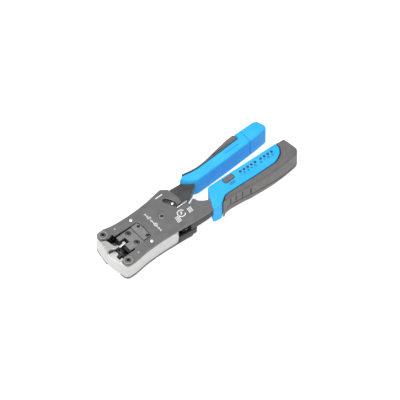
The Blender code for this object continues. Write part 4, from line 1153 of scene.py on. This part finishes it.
jack_low, jack_high = (np.array(corner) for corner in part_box("main_jack"))
grip_opened = opened(grip_surface, jack_low - 0.3 * MM, jack_high + np.array([4, 0.3, 0.3]) * MM)
soft_grip = stand_in("lower_grip", "soft_grip", grip_opened, "grey", sharp=40)
print("grip opened for the jack:", len(soft_grip.data.polygons), "faces")

# %% [markdown]
# ## The moving handle
# The collar at the front of the moving handle slopes down to the lever. The slope is one more
# weight: points of the outline that face the nose are moved in further the higher they are.

# %% Moving handle shell
upper_line = evened("upper_shell", 4.0)
pad_line = evened("upper_insert", 12.0)
far_line = evened("remote_shell", 3.0)
seam_x = (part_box("upper_shell")[1].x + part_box("remote_shell")[0].x) / 2


def seam_weight(line):
    """Small at the face where the two blue pieces meet, 1 elsewhere."""
    return np.clip(np.abs(line[:, 0] - seam_x) / (1.2 * MM), 0.12, 1)


upper_line[upper_line[:, 0] > seam_x - 0.3 * MM, 0] = seam_x - 0.03 * MM
far_line[far_line[:, 0] < seam_x + 0.3 * MM, 0] = seam_x + 0.03 * MM
beside = np.clip((gap_to(upper_line, pad_line) - 0.5 * MM) / (3 * MM), 0.3, 1)
soft = np.minimum(seam_weight(upper_line), beside)
to_nose = np.clip(outward(upper_line) @ np.array([-0.66, -0.75]), 0, 1) ** 3
slope = to_nose * (1 - smooth_step(upper_line[:, 0], 50 * MM, 57 * MM)) * 1.5 * MM
low_radius, high_radius, collar = 2.4 * MM, 2.6 * MM, 20.4 * MM
rows = wall_rows(face_bottom, face_top, low_radius, high_radius, [6 * MM, 14 * MM, collar])
fall = np.clip((rows[:, 2:3] - collar) / (face_top - collar), 0, 1)
rounding = rows[:, 0:1] * low_radius * soft + rows[:, 1:2] * high_radius * soft * (1 - 0.6 * to_nose)
depth = rounding + fall * slope
height = np.broadcast_to(rows[:, 2:3], depth.shape)
bottoms = pockets_of("upper_shell", face_bottom + 0.8 * MM, 1.9 * MM)
far_jack_low, far_jack_high = (np.array(corner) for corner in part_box("remote_jack"))
half_way = (face_bottom + face_top) / 2
dock_low = (seam_x - 10 * MM, far_jack_low[1], half_way - 6 * MM)
dock_high = (seam_x + 1 * MM, far_jack_high[1], half_way + 6 * MM)
shell = opened(moulded(upper_line, depth, height, rows[:, 3], (), bottoms), dock_low, dock_high)
stand_in("upper_shell", "moving_handle_shell", shell, "blue", sharp=40)

rows = wall_rows(face_bottom, face_top, low_radius, high_radius, [8 * MM, 16 * MM])
depth = (rows[:, 0:1] * low_radius + rows[:, 1:2] * high_radius) * seam_weight(far_line)
shell = moulded(far_line, depth, np.broadcast_to(rows[:, 2:3], depth.shape), rows[:, 3])
shell = opened(shell, far_jack_low - np.array([1.6, 0.4, 0.4]) * MM, far_jack_high + 0.4 * MM)
stand_in("remote_shell", "far_unit_shell", shell, "blue", sharp=40)
dress("upper_insert", "moving_pad", "grey", 1.1, rounds=3)
print("moving handle and far unit made; seam at x", round(seam_x / MM, 1))

# %% [markdown]
# ## Button, lamps, cover and screws
# Small pieces of the tester. A lamp is a turned dome; nine of them sit on one strip, so they are one
# piece. The button has a soft crowned edge.

# %% Tester pieces
dress("test_button", "tester_button", "grey", 0.8, rounds=3)
dress("battery_cover", "battery_lid", "grey", 0.4)
strip_bottom, lens_top = heights("light_bar")
strip_loops = section("light_bar", strip_bottom + 0.5 * MM)
lens_loops = section("light_bar", lens_top - 0.3 * MM)
shells = [carried(strip_loops, edge_profile(strip_bottom, strip_bottom + 1.4 * MM, 0.2 * MM))]
lens_dome = 0.6 * MM
shoulder = lens_top - lens_dome
for loop in lens_loops:
    x, y = loop.mean(axis=0)
    radius = np.ptp(loop[:, 0]) / 2
    rows = [(radius, strip_bottom + 1.2 * MM, 0), (radius, shoulder, 0)]
    rows += [(radius * math.cos(a), shoulder + lens_dome * math.sin(a), 0)
             for a in np.linspace(0, math.pi / 2, 6)[1:-1]]
    shells.append(turned(x, y, rows, 32))
stand_in("light_bar", "lamp_lenses", joined(shells), "lamp", sharp=60)
for half, handle in (("lower", "fixed"), ("upper", "moving")):
    for end in ("_screw_front", "_screw_rear"):
        screw(half + end, handle + "_shell" + end, "dark", lambda a: cross(a, 1.5 * MM, 0.7 * MM),
              0.9 * MM, 0.3 * MM, up=False)
print(len(lens_loops), "lamps")

# %% [markdown]
# ## Jack contacts
# A network jack has eight thin gilt wires in its mouth. They are eight copies of one thin level box,
# a millimetre apart.

# %% Contacts
for node, name, inward in (("main_jack", "main_contacts", -1), ("remote_jack", "far_contacts", 1)):
    lowest, highest = (np.array(corner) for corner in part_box(node))
    centre = (lowest + highest) / 2
    across = centre[1] + (np.arange(8) - 3.5) * 1.02 * MM
    mouth_x = highest[0] if inward < 0 else lowest[0]
    back_x = mouth_x + inward * 8 * MM
    span = sorted((mouth_x + inward * 1.5 * MM, back_x))
    base = highest[2] - 3.2 * MM
    points, faces = boxes([(span[0], y - 0.22 * MM, base) for y in across],
                          [(span[1], y + 0.22 * MM, base + 0.4 * MM) for y in across])
    make_piece(name, points, faces, body_of_node[node], "battery")
print("contacts in both jacks")

# %% [markdown]
# ## Printed marks
# The printing is generic: a scale, plain strokes and the numbers of the eight wires. Each stroke is a
# flat bar a few hundredths thick, lying on the face; numbers are made of the seven strokes that a
# pocket calculator uses.

# %% Strokes
INK = 0.03 * MM


def strokes(segments, width, level):
    """Bars along segments (x0, y0, x1, y1): each end moved sideways by half the width."""
    segments = np.asarray(segments, dtype=float) * MM
    start, stop = segments[:, :2], segments[:, 2:]
    along = stop - start
    along /= np.linalg.norm(along, axis=1)[:, None]
    side = np.column_stack([-along[:, 1], along[:, 0]]) * width * MM / 2
    plan = np.stack([start - side, stop - side, stop + side, start + side], axis=1)
    lower = np.concatenate([plan, np.full((len(plan), 4, 1), level - 0.02 * MM)], axis=2)
    upper = np.concatenate([plan, np.full((len(plan), 4, 1), level + INK)], axis=2)
    points = np.concatenate([lower, upper], axis=1).reshape(-1, 3)
    one = [(3, 2, 1, 0), (4, 5, 6, 7), (0, 1, 5, 4), (1, 2, 6, 5), (2, 3, 7, 6), (3, 0, 4, 7)]
    faces = [tuple(corner + 8 * k for corner in face) for k in range(len(plan)) for face in one]
    return points, faces


SEVEN = {"top": (0, 2, 1, 2), "middle": (0, 1, 1, 1), "bottom": (0, 0, 1, 0), "upper_left": (0, 1, 0, 2),
         "upper_right": (1, 1, 1, 2), "lower_left": (0, 0, 0, 1), "lower_right": (1, 0, 1, 1)}
NUMBERS = {
    1: ("upper_right", "lower_right"), 2: ("top", "upper_right", "middle", "lower_left", "bottom"),
    3: ("top", "upper_right", "middle", "lower_right", "bottom"),
    4: ("upper_left", "upper_right", "middle", "lower_right"),
    5: ("top", "upper_left", "middle", "lower_right", "bottom"),
    6: ("top", "upper_left", "middle", "lower_left", "lower_right", "bottom"),
    7: ("top", "upper_right", "lower_right"), 8: tuple(SEVEN),
}


def number(value, x, y, size, angle=0.0):
    """Segments of a number whose lower left corner is at (x, y), turned by an angle in degrees."""
    a = math.radians(angle)
    made = []
    for word in NUMBERS[value]:
        x0, y0, x1, y1 = (size * step * (0.55 if k % 2 == 0 else 0.5) for k, step in enumerate(SEVEN[word]))
        made.append((x + x0 * math.cos(a) - y0 * math.sin(a), y + x0 * math.sin(a) + y0 * math.cos(a),
                     x + x1 * math.cos(a) - y1 * math.sin(a), y + x1 * math.sin(a) + y1 * math.cos(a)))
    return made


def ring_strokes(x, y, radius, start=0, stop=360, parts=28):
    """Short chords along an arc."""
    a = np.radians(np.linspace(start, stop, parts + 1))
    px, py = x + radius * np.cos(a), y + radius * np.sin(a)
    return np.column_stack([px[:-1], py[:-1], px[1:], py[1:]]).tolist()


print(len(NUMBERS), "numbers made of up to", len(SEVEN), "strokes each")

# %% [markdown]
# ### Where the marks lie
# All positions are plain millimetres in the tool's frame. The head has a scale and two rows of
# strokes, and its turning arrow is drawn wider. Eight lamps have their wire's number beside them, the
# ninth one a ring.

# %% Prints on the head and the handles
head_ink = [(-11.4, -12.5, -11.4, 12.0)] + [(-12.6, y, -10.2, y) for y in np.linspace(-12.5, 12.0, 8)]
head_ink += number(8, -9.4, 5.0, 3.2, 90) + number(6, -9.4, -4.6, 3.2, 90)
head_ink += [(7.4 + k * 1.3, -16.6, 8.6 + k * 1.3, -9.6) for k in range(4)]
head_ink += [(23.4 + k * 1.3, -14.6, 24.4 + k * 1.3, -8.6) for k in range(4)]
wide_ink = ring_strokes(16.6, -9.6, 3.9, 20, 330) + [(15.2, -10.8, 18.2, -8.2), (16.2, -8.0, 18.2, -8.2)]
wide_ink += [(8.2, 19.6, 16.6, 19.6)]
spot_rows = [(0.9 * MM, head_top - 0.1 * MM, 0), (0.9 * MM, head_top, 0.4),
             (0.7 * MM, head_top + INK, 0.8)]
spots = [turned(x * MM, y * MM, spot_rows, 32) for x, y in ((-45.0, 17.6), (-44.6, -18.2))]
points, faces, share = joined(spots)
make_piece("weld_spots", points, faces, "frame", "cheek", share)
make_piece("head_marks", *strokes(head_ink, 0.6, head_top), "frame", "white_ink")
make_piece("turn_mark", *strokes(wide_ink, 1.0, head_top), "frame", "white_ink")

handle_ink = []
for k, loop in enumerate(sorted(lens_loops, key=lambda loop: loop[:, 0].mean())):
    x, y = loop.mean(axis=0) / MM
    if k < 8:
        handle_ink += number(k + 1, x - 2.6, y - 4.6, 2.4, 8)
    else:
        handle_ink += ring_strokes(x - 1.6, y - 3.6, 0.9, parts=12)
button_low, button_high = (np.array(corner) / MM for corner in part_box("test_button"))
bx, by = (button_low[0] + button_high[0]) / 2, button_low[1] - 3.2
handle_ink += [(bx - 3, by + lift, bx + 3, by + lift) for lift in (-1, 1)]
handle_ink += [(bx + across, by - 1, bx + across, by + 1) for across in (-3, 3, -1, 1)]
make_piece("wire_numbers", *strokes(handle_ink, 0.5, face_top), "frame", "dark_ink")
row_ink = [(94 + k * 2.2, 16.6 + k * 0.05, 95.4 + k * 2.2, 16.6 + k * 0.05) for k in range(8)]
make_piece("handle_marks", *strokes(row_ink, 0.7, face_top), "moving_handle", "dark_ink")
print(len(head_ink) + len(wide_ink) + len(handle_ink) + len(row_ink), "strokes printed")
